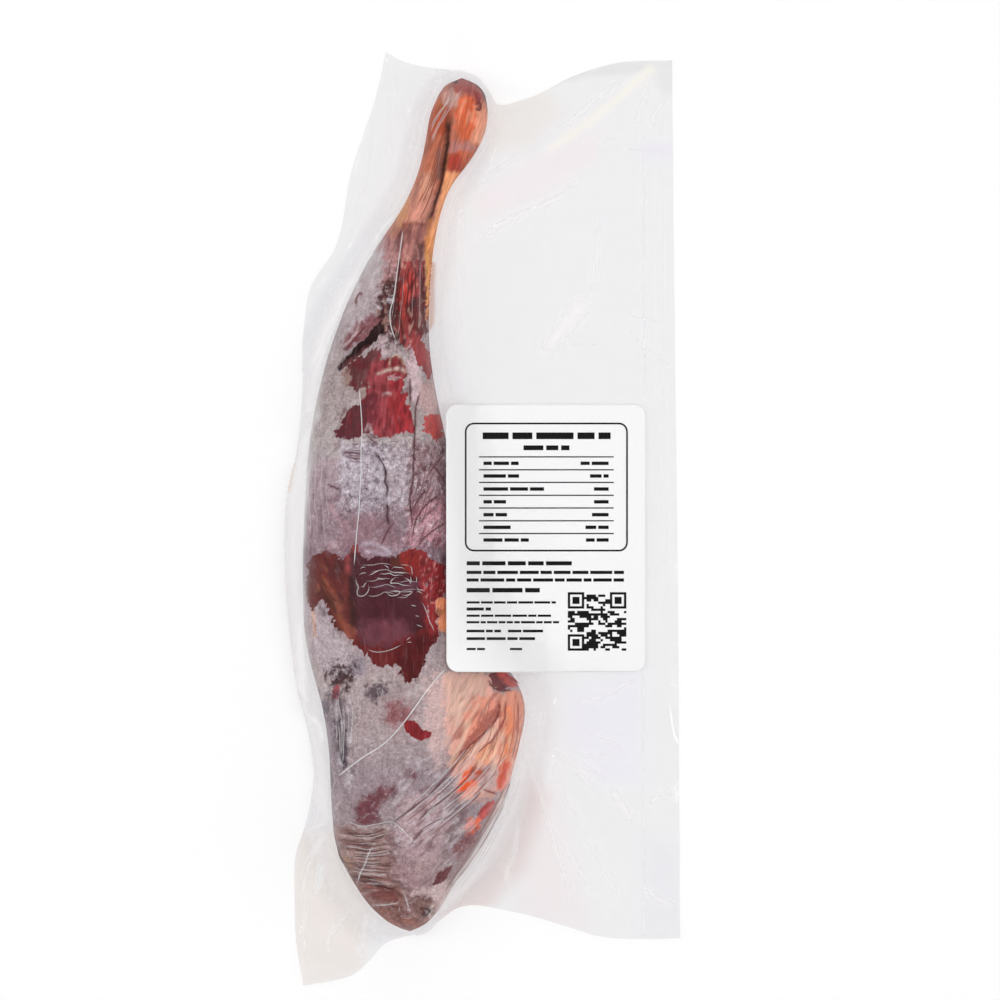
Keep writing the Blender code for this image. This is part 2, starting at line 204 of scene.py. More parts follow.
# %% [markdown]
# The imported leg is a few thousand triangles, too coarse for frost and fibres. A fine net is wrapped on
# it: a sphere's rings run from hip to hock, each point looks outwards from the leg's axis, and moves to
# where it meets the solid. A subdivided copy of the solid is met, so no facet shows. Three quarters of
# the points go to the upper side, which is the side that is seen.

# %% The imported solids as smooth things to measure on
def measuring_tree(node, levels):
    """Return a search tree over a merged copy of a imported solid, smoothed by subdivision."""
    bm = bmesh.new()
    bm.from_mesh(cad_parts[node].data)
    bmesh.ops.remove_doubles(bm, verts=bm.verts, dist=1e-6)
    places = np.array([vert.co for vert in bm.verts])
    copy = make_object(node + " copy", bm, floor_material)
    if levels:
        smoother = copy.modifiers.new("smoother", "SUBSURF")
        smoother.levels = smoother.render_levels = levels
    tree = BVHTree.FromObject(copy, bpy.context.evaluated_depsgraph_get())
    bpy.data.objects.remove(copy)
    return tree, places


leg_tree, leg_points = measuring_tree("leg", 2)
pouch_tree, _ = measuring_tree("pouch", 0)
label_tree, _ = measuring_tree("label", 0)
print("leg solid:", len(leg_points), "points")

# %% The leg's axis and the net's own spacing
LEG_AROUND = 182
LEG_RINGS = 530
UPPER_SHARE = 0.76
UPPER_REACH = math.radians(12)
EVEN_SHARE = 0.6

hip_end, hock_end = leg_points[:, 1].min(), leg_points[:, 1].max()
ring_places = np.unique(leg_points[:, 1].round(5))
ring_middle = [leg_points[abs(leg_points[:, 1] - y) < 2e-5][:, (0, 2)] for y in ring_places]
ring_middle = np.array([(ring.max(0) + ring.min(0)) / 2 for ring in ring_middle])


def around_angle(share):
    """Turn a share of the way round into an angle, with most of the points above."""
    if share < UPPER_SHARE:
        return -UPPER_REACH + share / UPPER_SHARE * (math.pi + 2 * UPPER_REACH)
    under = (share - UPPER_SHARE) / (1 - UPPER_SHARE)
    return math.pi + UPPER_REACH + under * (math.pi - 2 * UPPER_REACH)


# %% Wrap the net on the leg
leg_bm = bmesh.new()
bmesh.ops.create_uvsphere(leg_bm, u_segments=LEG_AROUND, v_segments=LEG_RINGS, radius=1)
for vert in leg_bm.verts:
    polar = math.acos(max(-1.0, min(1.0, vert.co.z)))
    even, crowded = 1 - 2 * polar / math.pi, math.cos(polar)
    along = EVEN_SHARE * even + (1 - EVEN_SHARE) * crowded
    y = (hip_end + hock_end) / 2 + along * (hock_end - hip_end) / 2
    middle_x, middle_z = (np.interp(y, ring_places, ring_middle[:, axis]) for axis in (0, 1))
    middle = Vector((middle_x, y, middle_z))
    if math.hypot(vert.co.x, vert.co.y) < 1e-5:
        vert.co = middle
        continue
    angle = around_angle(math.atan2(vert.co.y, vert.co.x) / (2 * math.pi) % 1.0)
    hit = leg_tree.ray_cast(middle, Vector((math.cos(angle), 0, math.sin(angle))))[0]
    vert.co = hit or middle
for _ in range(3):
    bmesh.ops.smooth_vert(leg_bm, verts=leg_bm.verts, factor=0.5,
                          use_axis_x=True, use_axis_y=True, use_axis_z=True)
bmesh.ops.recalc_face_normals(leg_bm, faces=leg_bm.faces)
leg_bm.normal_update()
leg_triangles = sum(len(face.verts) - 2 for face in leg_bm.faces)
print("leg net:", len(leg_bm.verts), "points,", leg_triangles, "triangles")

# %% [markdown]
# Frost, wet patches and fat are where they are on this one leg, so they are painted as patches: each has
# an outline in seen pixels, a colour, and an edge that is more or less soft and ragged. Streaks are the
# same along a line. Smooth random waves push the outlines about, because nothing on meat has a ruled edge.

# %% Waves, patch masks and streak masks
leg_places = np.array([vert.co for vert in leg_bm.verts])
leg_seen = np.stack(to_seen(leg_places[:, 0], leg_places[:, 1], leg_places[:, 2]), axis=1)
leg_up = np.array([vert.normal.z for vert in leg_bm.verts])


def waves(points, size, seed, stretch=1.0, heading=0.0):
    """Smooth random values from about -1 to 1, with waves of a size in pixels, stretched along a heading.

    A heading of 0 degrees runs to the right of the picture, and one of 90 runs down.
    """
    turn = math.radians(heading)
    along = (points[:, 0] * math.cos(turn) + points[:, 1] * math.sin(turn)) / size / stretch
    across = (points[:, 1] * math.cos(turn) - points[:, 0] * math.sin(turn)) / size
    return np.array([noise.noise(Vector((u, v, seed * 7.3))) for u, v in zip(along, across)])


def segment_distance(points, start, end):
    """How far each point is from a straight segment, and the share along it of its nearest place."""
    (ax, ay), (bx, by) = start, end
    share = (points[:, 0] - ax) * (bx - ax) + (points[:, 1] - ay) * (by - ay)
    share = np.clip(share / ((bx - ax)**2 + (by - ay)**2), 0, 1)
    return np.hypot(points[:, 0] - ax - share * (bx - ax), points[:, 1] - ay - share * (by - ay)), share


def outline_depth(points, outline):
    """How far inside an outline each point is, in pixels, and less than nothing outside."""
    inside = np.zeros(len(points), bool)
    nearest = np.full(len(points), 1e9)
    for (ax, ay), (bx, by) in zip(outline, (*outline[1:], outline[0])):
        nearest = np.minimum(nearest, segment_distance(points, (ax, ay), (bx, by))[0])
        if ay != by:
            crosses = (ay > points[:, 1]) != (by > points[:, 1])
            inside ^= crosses & (points[:, 0] < ax + (points[:, 1] - ay) / (by - ay) * (bx - ax))
    return np.where(inside, nearest, -nearest)


def line_distance(points, line):
    """How far each point is from a line, in pixels, and how far along it its nearest place is, 0 to 1."""
    nearest, where = np.full(len(points), 1e9), np.zeros(len(points))
    for step, (start, end) in enumerate(zip(line, line[1:])):
        away, share = segment_distance(points, start, end)
        where = np.where(away < nearest, (step + share) / (len(line) - 1), where)
        nearest = np.minimum(nearest, away)
    return nearest, where


def smooth_step(values):
    """Ease values from 0 to 1 in and out, and hold them within that."""
    values = np.clip(values, 0, 1)
    return values * values * (3 - 2 * values)


leg_waves = {size: (waves(leg_seen, size, size), waves(leg_seen, size, size + 1))
             for size in (3, 7, 18, 50)}
print("waves made at", len(leg_seen), "points")


def ragged(amount):
    """The seen places pushed about by waves of three sizes."""
    push = [sum(share * leg_waves[size][axis] for size, share in ((3, 0.9), (7, 0.8), (18, 0.4)))
            for axis in (0, 1)]
    return leg_seen + amount * np.stack(push, axis=1)


# %% [markdown]
# The meat's ground colour changes from hock to hip: warm tan on the shank, then a grey lilac where a thin
# frost lies under the film.

# %% Ground colour along the leg
GROUND = (
    (70, "#a66661"), (110, "#b5705c"), (165, "#c57357"), (200, "#c78674"), (228, "#b07468"),
     (265, "#a98c8f"),
    (320, "#b0a0a3"), (400, "#b0a09f"), (450, "#b4a8a8"), (500, "#9d8990"), (560, "#8f7780"),
     (620, "#b5a5a9"),
    (680, "#b4a2a2"), (730, "#b4a2a3"), (780, "#a39297"), (830, "#a29093"), (880, "#a08789"),
     (930, "#9a6b64"),
)
ground = np.array([light(code) for _, code in GROUND])
ground_rows = [row for row, _ in GROUND]
frosted = np.stack([np.interp(leg_seen[:, 1], ground_rows, band) for band in ground.T], axis=1)
bare = np.tile(light("#7a3033"), (len(leg_seen), 1))
clinging = np.zeros(len(leg_seen))
fat = np.zeros(len(leg_seen))

# %% [markdown]
# Patches go on in order, the later ones over the earlier ones. Each row has the colour, how much it
# covers, how soft and how ragged its edge is in pixels, how wet and how fatty it is, and its outline.

# %% Patches
PATCHES = (
    # Hock: an orange knob of cut joint with a dark red top and a brownish left side
    ("#ba5535", 0.94, 4, 2, 0.2, 0.2, ((437, 98), (446, 90), (456, 98), (450, 118), (444, 142),
     (430, 150), (427, 125))),
    ("#b06a3e", 0.7, 3, 1, 0.2, 0.4, ((437, 100), (444, 97), (445, 110), (439, 112))),
    ("#cda298", 0.8, 5, 2, 0.1, 0.0, ((442, 92), (452, 88), (459, 94), (458, 104), (450, 108),
     (443, 104))),
    ("#e06c46", 0.95, 6, 2, 0.4, 0.6, ((459, 98), (468, 93), (477, 100), (480, 116), (476, 138),
     (462, 142), (456, 128), (455, 112))),
    ("#f8a888", 0.92, 6, 2, 0.3, 0.6, ((474, 104), (485, 102), (489, 116), (487, 138), (480, 146),
     (474, 140), (476, 118))),
    ("#a45a56", 0.9, 4, 3, 0.3, 0.0, ((451, 86), (460, 76), (470, 79), (480, 89), (487, 100), (482, 103),
     (474, 98), (464, 91), (455, 92))),
    ("#8c3034", 0.8, 3, 2, 0.5, 0.0, ((475, 90), (481, 96), (481, 110), (477, 111), (475, 102))),
    ("#bb7d76", 0.9, 5, 2, 0.3, 0.0, ((451, 141), (470, 141), (474, 148), (470, 154), (453, 154),
     (448, 148))),
    ("#cc6848", 0.92, 4, 3, 0.4, 0.3, ((458, 152), (476, 152), (472, 164), (462, 172), (455, 170))),
    ("#b0372a", 0.88, 6, 2, 0.5, 0.0, ((449, 156), (459, 154), (463, 164), (456, 176), (449, 172))),
    # Shank: a tan band, then a pinkish one, and the pale strap of the tendon
    ("#c57357", 0.85, 5, 2, 0.3, 0.3, ((434, 134), (445, 134), (443, 170), (437, 196), (418, 202),
     (424, 165))),
    ("#9a7470", 0.75, 3, 1, 0.2, 0.0, ((437, 150), (441, 150), (441, 178), (436, 182))),
    ("#dc9884", 0.9, 7, 3, 0.2, 0.3, ((410, 188), (434, 186), (432, 212), (424, 226), (400, 230),
     (400, 206))),
    ("#e4a68c", 0.8, 6, 3, 0.2, 0.4, ((420, 174), (432, 172), (431, 192), (420, 196))),
    ("#c89060", 0.7, 4, 2, 0.3, 0.3, ((404, 196), (412, 190), (408, 216), (396, 240), (390, 240))),
    ("#b0746c", 0.9, 9, 4, 0.2, 0.0, ((396, 226), (426, 222), (426, 250), (422, 268), (396, 270),
     (388, 248))),
    ("#ffae78", 0.97, 4, 1, 0.2, 1.0, ((446, 172), (459, 172), (455, 190), (447, 214), (440, 236),
     (434, 268), (425, 270), (428, 240), (436, 215), (442, 190))),
    ("#ea9c64", 0.97, 4, 1, 0.4, 0.9, ((425, 236), (436, 236), (434, 256), (433, 290), (431, 320),
     (425, 320), (425, 290))),
    # Calf: a lilac upper part, a silver frost patch and a red muscle beside the tendon
    ("#b48484", 0.8, 8, 4, 0.0, 0.0, ((384, 238), (402, 240), (400, 262), (390, 286), (380, 292),
     (382, 262))),
    ("#bcaeb0", 0.92, 7, 4, 0.0, 0.0, ((370, 247), (384, 250), (384, 270), (378, 288), (368, 306),
     (354, 334), (342, 336), (350, 306), (362, 276))),
    ("#481412", 0.92, 8, 5, 0.2, 0.0, ((382, 286), (398, 272), (404, 300), (400, 318), (404, 340),
     (388, 346), (380, 330), (376, 308))),
    ("#96413f", 0.92, 8, 4, 0.7, 0.0, ((401, 262), (424, 259), (426, 300), (427, 330), (420, 345),
     (406, 350), (396, 334), (397, 300))),
    ("#b8403a", 0.8, 6, 3, 0.9, 0.0, ((402, 290), (411, 280), (415, 292), (413, 308), (405, 314),
     (400, 304))),
    ("#6a1618", 0.9, 6, 3, 0.7, 0.0, ((414, 302), (424, 300), (425, 330), (418, 342), (413, 322))),
    ("#c0a8ac", 0.85, 5, 4, 0.0, 0.0, ((377, 338), (389, 336), (390, 352), (379, 356))),
    # The dark seam across the stifle and the brown muscle under it
    ("#84444a", 0.85, 5, 4, 0.3, 0.0, ((354, 321), (372, 314), (384, 318), (378, 330), (356, 344),
     (342, 352), (344, 336))),
    ("#240406", 0.97, 4, 2, 0.7, 0.0, ((384, 318), (388, 322), (383, 334), (372, 345), (356, 357),
     (344, 367), (337, 373), (338, 367), (352, 350), (366, 336))),
    ("#69383a", 0.92, 5, 4, 0.7, 0.0, ((345, 366), (356, 358), (372, 350), (382, 354), (378, 372),
     (370, 386), (358, 389), (348, 386))),
    ("#94705a", 0.6, 5, 2, 0.2, 0.3, ((342, 370), (350, 368), (351, 382), (344, 386))),
    ("#a08070", 0.5, 6, 3, 0.1, 0.2, ((358, 381), (370, 380), (369, 400), (360, 404))),
    # First wet patch: bright red with a darker left corner
    ("#9c4248", 0.97, 5, 3, 1.0, 0.0, ((370, 384), (373, 370), (381, 360), (392, 355), (402, 357),
     (406, 370), (403, 386), (404, 400), (410, 409), (415, 421), (415, 433), (397, 434), (390, 438),
     (376, 437), (370, 426), (360, 420), (364, 396))),
    ("#8f3338", 0.96, 2, 2, 1.0, 0.0, ((390, 358), (396, 356), (402, 359), (403, 368), (396, 370),
     (390, 368))),
    ("#712c34", 0.96, 3, 3, 1.0, 0.0, ((360, 402), (372, 398), (374, 412), (370, 434), (361, 436),
     (354, 439), (345, 440), (336, 438), (336, 432), (344, 419), (347, 411))),
    ("#5f2830", 0.85, 4, 3, 1.0, 0.0, ((346, 414), (360, 408), (361, 428), (354, 438), (338, 437),
     (338, 430))),
    ("#a8343a", 0.7, 8, 4, 1.0, 0.0, ((394, 384), (403, 388), (412, 410), (413, 431), (398, 430),
     (393, 402))),
    ("#c09094", 0.55, 3, 3, 0.3, 0.0, ((388, 374), (402, 373), (403, 380), (396, 382), (388, 380))),
    # The pale strip and the red band at its right
    ("#dabec2", 0.92, 4, 3, 0.0, 0.0, ((409, 346), (417, 352), (420, 376), (422, 398), (418, 408),
     (412, 400), (408, 380))),
    ("#983a3c", 0.97, 3, 2, 1.0, 0.0, ((410, 333), (422, 341), (431, 356), (434, 372), (428, 381),
     (421, 368), (413, 350))),
    ("#cba5a2", 0.75, 6, 4, 0.1, 0.1, ((421, 380), (434, 382), (438, 400), (438, 414), (420, 414),
     (417, 400))),
    ("#bc5250", 0.95, 4, 4, 0.8, 0.0, ((425, 416), (440, 412), (444, 426), (442, 438), (432, 438),
     (424, 428))),
    # Frost zone between the wet patches
    ("#bcb0ba", 0.85, 10, 6, 0.0, 0.0, ((341, 446), (374, 442), (384, 450), (386, 497), (372, 512),
     (350, 506), (340, 480))),
    ("#bfb0b8", 0.8, 12, 6, 0.0, 0.0, ((390, 446), (410, 446), (414, 480), (406, 506), (392, 500))),
    ("#9c7d83", 0.8, 12, 6, 0.0, 0.0, ((412, 444), (446, 440), (450, 508), (410, 510))),
    ("#cc98a2", 0.85, 12, 6, 0.0, 0.0, ((410, 506), (448, 500), (450, 545), (404, 545))),
    ("#96747d", 0.85, 10, 6, 0.1, 0.0, ((340, 518), (390, 514), (402, 545), (366, 556), (332, 550))),
    ("#b49ca4", 0.75, 10, 6, 0.0, 0.0, ((306, 460), (339, 460), (340, 480), (330, 500), (306, 500))),
    ("#a38a92", 0.8, 10, 6, 0.0, 0.0, ((306, 498), (344, 496), (342, 532), (330, 548), (307, 548))),
    # Second wet patch: brown at the left, a dark glossy pool and bright red to the right
    ("#682826", 0.97, 6, 3, 1.0, 0.0, ((306, 590), (307, 576), (308, 563), (316, 554), (326, 551),
     (334, 554), (342, 560), (350, 552), (357, 556), (364, 600), (366, 640), (358, 650), (350, 640),
     (342, 632), (334, 626), (328, 615), (326, 602), (319, 602), (313, 609), (309, 606))),
    ("#8a3a3c", 0.85, 4, 2, 0.9, 0.0, ((350, 545), (358, 543), (360, 556), (358, 572), (351, 570))),
    ("#652a2c", 0.97, 6, 2, 1.0, 0.0, ((354, 626), (380, 634), (410, 636), (428, 630), (424, 652),
     (384, 658), (360, 650))),
    ("#4e1e28", 0.97, 6, 2, 1.0, 0.0, ((356, 557), (388, 557), (400, 556), (412, 560), (424, 574),
     (427, 604), (432, 640), (404, 648), (378, 642), (362, 632), (356, 600))),
    ("#5a2a24", 0.8, 4, 2, 1.0, 0.0, ((396, 556), (404, 552), (407, 560), (404, 566), (396, 564))),
    ("#8e2a26", 0.97, 5, 3, 1.0, 0.0, ((405, 552), (412, 547), (416, 550), (425, 551), (429, 559),
     (428, 572), (412, 570), (406, 562))),
    ("#942c30", 0.97, 6, 3, 1.0, 0.0, ((426, 556), (435, 563), (446, 566), (446, 588), (437, 606),
     (436, 620), (438, 632), (433, 649), (432, 640), (429, 604), (422, 574))),
    ("#713a45", 0.9, 12, 2, 1.0, 0.0, ((364, 626), (380, 624), (400, 626), (408, 634), (404, 645),
     (384, 648), (368, 644), (360, 636))),
    ("#6c1f20", 0.97, 6, 4, 1.0, 0.0, ((352, 642), (364, 648), (384, 651), (404, 645), (424, 634),
     (434, 640), (425, 658), (420, 672), (414, 681), (404, 681), (398, 668), (394, 664), (377, 667),
     (366, 657))),
    ("#561416", 0.9, 5, 3, 1.0, 0.0, ((400, 650), (424, 640), (422, 664), (414, 678), (405, 676),
     (400, 664))),
    ("#ffa878", 0.98, 4, 2, 0.5, 0.8, ((436, 600), (450, 594), (452, 634), (439, 632))),
    # White frost under the second patch, and the marks in it
    ("#bfb0b5", 0.9, 6, 5, 0.0, 0.0, ((314, 612), (322, 606), (330, 622), (344, 640), (352, 652),
     (354, 676), (330, 680), (314, 660))),
    ("#8f8590", 0.75, 5, 4, 0.0, 0.0, ((351, 656), (366, 660), (366, 676), (352, 676))),
    ("#3c181c", 0.92, 4, 8, 0.1, 0.0, ((328, 668), (338, 663), (350, 664), (358, 672), (354, 684),
     (342, 690), (330, 684))),
    ("#a8545a", 0.9, 3, 3, 0.6, 0.0, ((331, 686), (339, 686), (339, 700), (333, 700))),
    ("#503e48", 0.85, 6, 6, 0.0, 0.0, ((370, 683), (385, 684), (387, 698), (374, 702), (366, 694))),
    ("#8e5256", 0.85, 12, 4, 0.1, 0.0, ((388, 700), (412, 704), (414, 722), (396, 730), (384, 718))),
    ("#7d6b76", 0.7, 10, 5, 0.0, 0.0, ((318, 700), (334, 700), (338, 740), (334, 776), (322, 770),
     (316, 730))),
    ("#4a3a44", 0.85, 5, 4, 0.0, 0.0, ((335, 716), (344, 722), (348, 748), (344, 768), (337, 764),
     (338, 740))),
    ("#dabab6", 0.8, 10, 6, 0.0, 0.3, ((424, 676), (450, 674), (454, 730), (438, 770), (424, 730))),
    ("#8a262c", 0.97, 4, 1, 1.0, 0.0, ((404, 720), (416, 721), (422, 729), (432, 732), (430, 738),
     (421, 741), (413, 737), (406, 731))),
    ("#7c4a52", 0.8, 3, 2, 0.2, 0.0, ((411, 771), (417, 771), (417, 777), (411, 777))),
    ("#733c44", 0.92, 11, 3, 0.3, 0.0, ((386, 786), (395, 786), (398, 792), (386, 798), (380, 807),
     (380, 822), (367, 826), (355, 824), (355, 806), (367, 795))),
    # Hip: cream and orange fat in strips, the hollow beside the joint, and dark blots
    ("#f6b4a0", 0.92, 12, 4, 0.1, 0.8, ((446, 676), (488, 674), (500, 700), (506, 740), (500, 790),
     (484, 800), (462, 800), (450, 760), (446, 716))),
    ("#dcb4a4", 0.92, 10, 4, 0.1, 1.0, ((446, 674), (486, 673), (486, 696), (474, 720), (458, 734),
     (447, 716))),
    ("#ee967c", 0.75, 7, 5, 0.2, 0.7, ((470, 700), (496, 694), (500, 712), (484, 736), (466, 752),
     (462, 730))),
    ("#a5544c", 0.75, 4, 4, 0.3, 0.1, ((484, 716), (500, 700), (502, 712), (488, 730), (474, 744),
     (462, 758), (458, 752), (470, 736))),
    ("#784346", 0.94, 3, 2, 0.6, 0.0, ((486, 674), (500, 672), (514, 676), (519, 686), (510, 688),
     (500, 691), (493, 684))),
    ("#c8605a", 0.85, 3, 2, 0.6, 0.0, ((502, 672), (512, 675), (522, 684), (520, 688), (510, 682))),
    ("#e8987c", 0.92, 5, 3, 0.2, 0.8, ((498, 694), (522, 690), (526, 706), (524, 740), (516, 780),
     (508, 792), (500, 790), (502, 750), (500, 716))),
    ("#f09066", 0.85, 4, 3, 0.3, 0.9, ((506, 706), (514, 706), (514, 740), (512, 764), (504, 764),
     (504, 730))),
    ("#e8502a", 0.97, 4, 2, 0.3, 0.9, ((500, 764), (512, 762), (510, 784), (502, 792), (497, 788))),
    ("#cdb2b0", 0.85, 5, 3, 0.1, 0.1, ((480, 768), (497, 764), (497, 786), (484, 796), (478, 788))),
    ("#f4602e", 0.97, 4, 3, 0.4, 0.9, ((453, 792), (458, 780), (466, 772), (477, 767), (481, 772),
     (474, 786), (462, 792))),
    ("#f8aa84", 0.85, 5, 4, 0.3, 0.9, ((474, 752), (486, 744), (498, 740), (500, 752), (488, 762),
     (478, 766))),
    ("#bc5250", 0.95, 3, 3, 0.8, 0.0, ((479, 814), (488, 801), (497, 801), (496, 808), (490, 816),
     (484, 822))),
    ("#fa6a3a", 0.95, 4, 3, 0.4, 0.8, ((462, 828), (470, 818), (482, 818), (480, 830), (466, 836))),
    ("#8a585c", 0.88, 8, 4, 0.3, 0.0, ((453, 856), (456, 842), (468, 832), (480, 832), (476, 846),
     (460, 858))),
    # Rump: brownish where the film is pulled tight, with dark folds at the tip
    ("#c4a8ac", 0.85, 9, 5, 0.0, 0.0, ((396, 800), (440, 790), (450, 820), (436, 862), (400, 858))),
    ("#a48078", 0.75, 9, 5, 0.2, 0.2, ((334, 828), (392, 826), (398, 870), (352, 880), (338, 856))),
    ("#8c6056", 0.8, 8, 5, 0.4, 0.1, ((346, 868), (394, 876), (404, 894), (398, 930), (378, 922),
     (358, 900))),
    ("#8a6a6e", 0.7, 4, 3, 0.2, 0.0, ((387, 832), (394, 830), (395, 862), (388, 862))),
    ("#a07a58", 0.7, 4, 3, 0.2, 0.2, ((341, 854), (350, 856), (352, 868), (344, 866))),
    ("#84504b", 0.9, 3, 3, 0.7, 0.0, ((361, 885), (380, 887), (393, 890), (400, 893), (399, 899),
     (385, 901), (372, 899), (364, 893))),
    ("#b08e92", 0.8, 6, 5, 0.1, 0.0, ((392, 862), (410, 864), (424, 868), (422, 880), (412, 886),
     (398, 882))),
    ("#ba9e9e", 0.8, 7, 4, 0.0, 0.0, ((412, 858), (440, 854), (444, 866), (432, 880), (416, 876))),
    ("#6e3c40", 0.85, 3, 3, 0.6, 0.0, ((432, 886), (436, 875), (451, 865), (452, 870), (444, 884))),
    ("#d8bcbc", 0.85, 5, 3, 0.0, 0.0, ((407, 888), (430, 887), (446, 880), (450, 884), (442, 904),
     (434, 904), (431, 896), (410, 896))),
    ("#8d6c66", 0.92, 4, 3, 0.3, 0.0, ((409, 896), (430, 896), (432, 914), (420, 918), (411, 906))),
    ("#4a1c18", 0.97, 5, 2, 0.4, 0.0, ((421, 908), (430, 905), (431, 914), (423, 917))),
    ("#a4685a", 0.85, 5, 4, 0.5, 0.1, ((376, 908), (400, 918), (428, 920), (424, 932), (398, 932),
     (380, 920))),
)
WET_FROM = 0.6
BARE_SPREAD = 5.0
SHARPEST = 3.5


def paint(layer, mask, code):
    """Lay one colour over a layer by a mask from 0 to 1."""
    layer += mask[:, None] * (light(code) - layer)


for code, cover, soft, rag, wetness, fattiness, outline in PATCHES:
    depth = outline_depth(ragged(1.3 * rag), outline)
    mask = cover * smooth_step(0.5 + depth / max(soft, SHARPEST))
    if wetness >= WET_FROM:
        paint(bare, smooth_step(0.5 + (depth + BARE_SPREAD) / soft), code)
        clinging = np.maximum(clinging, mask)
    else:
        paint(frosted, mask, code)
        clinging *= 1 - mask
    fat += mask * (fattiness - fat)
print(len(PATCHES), "patches,", round(100 * clinging.mean()), "percent bare")
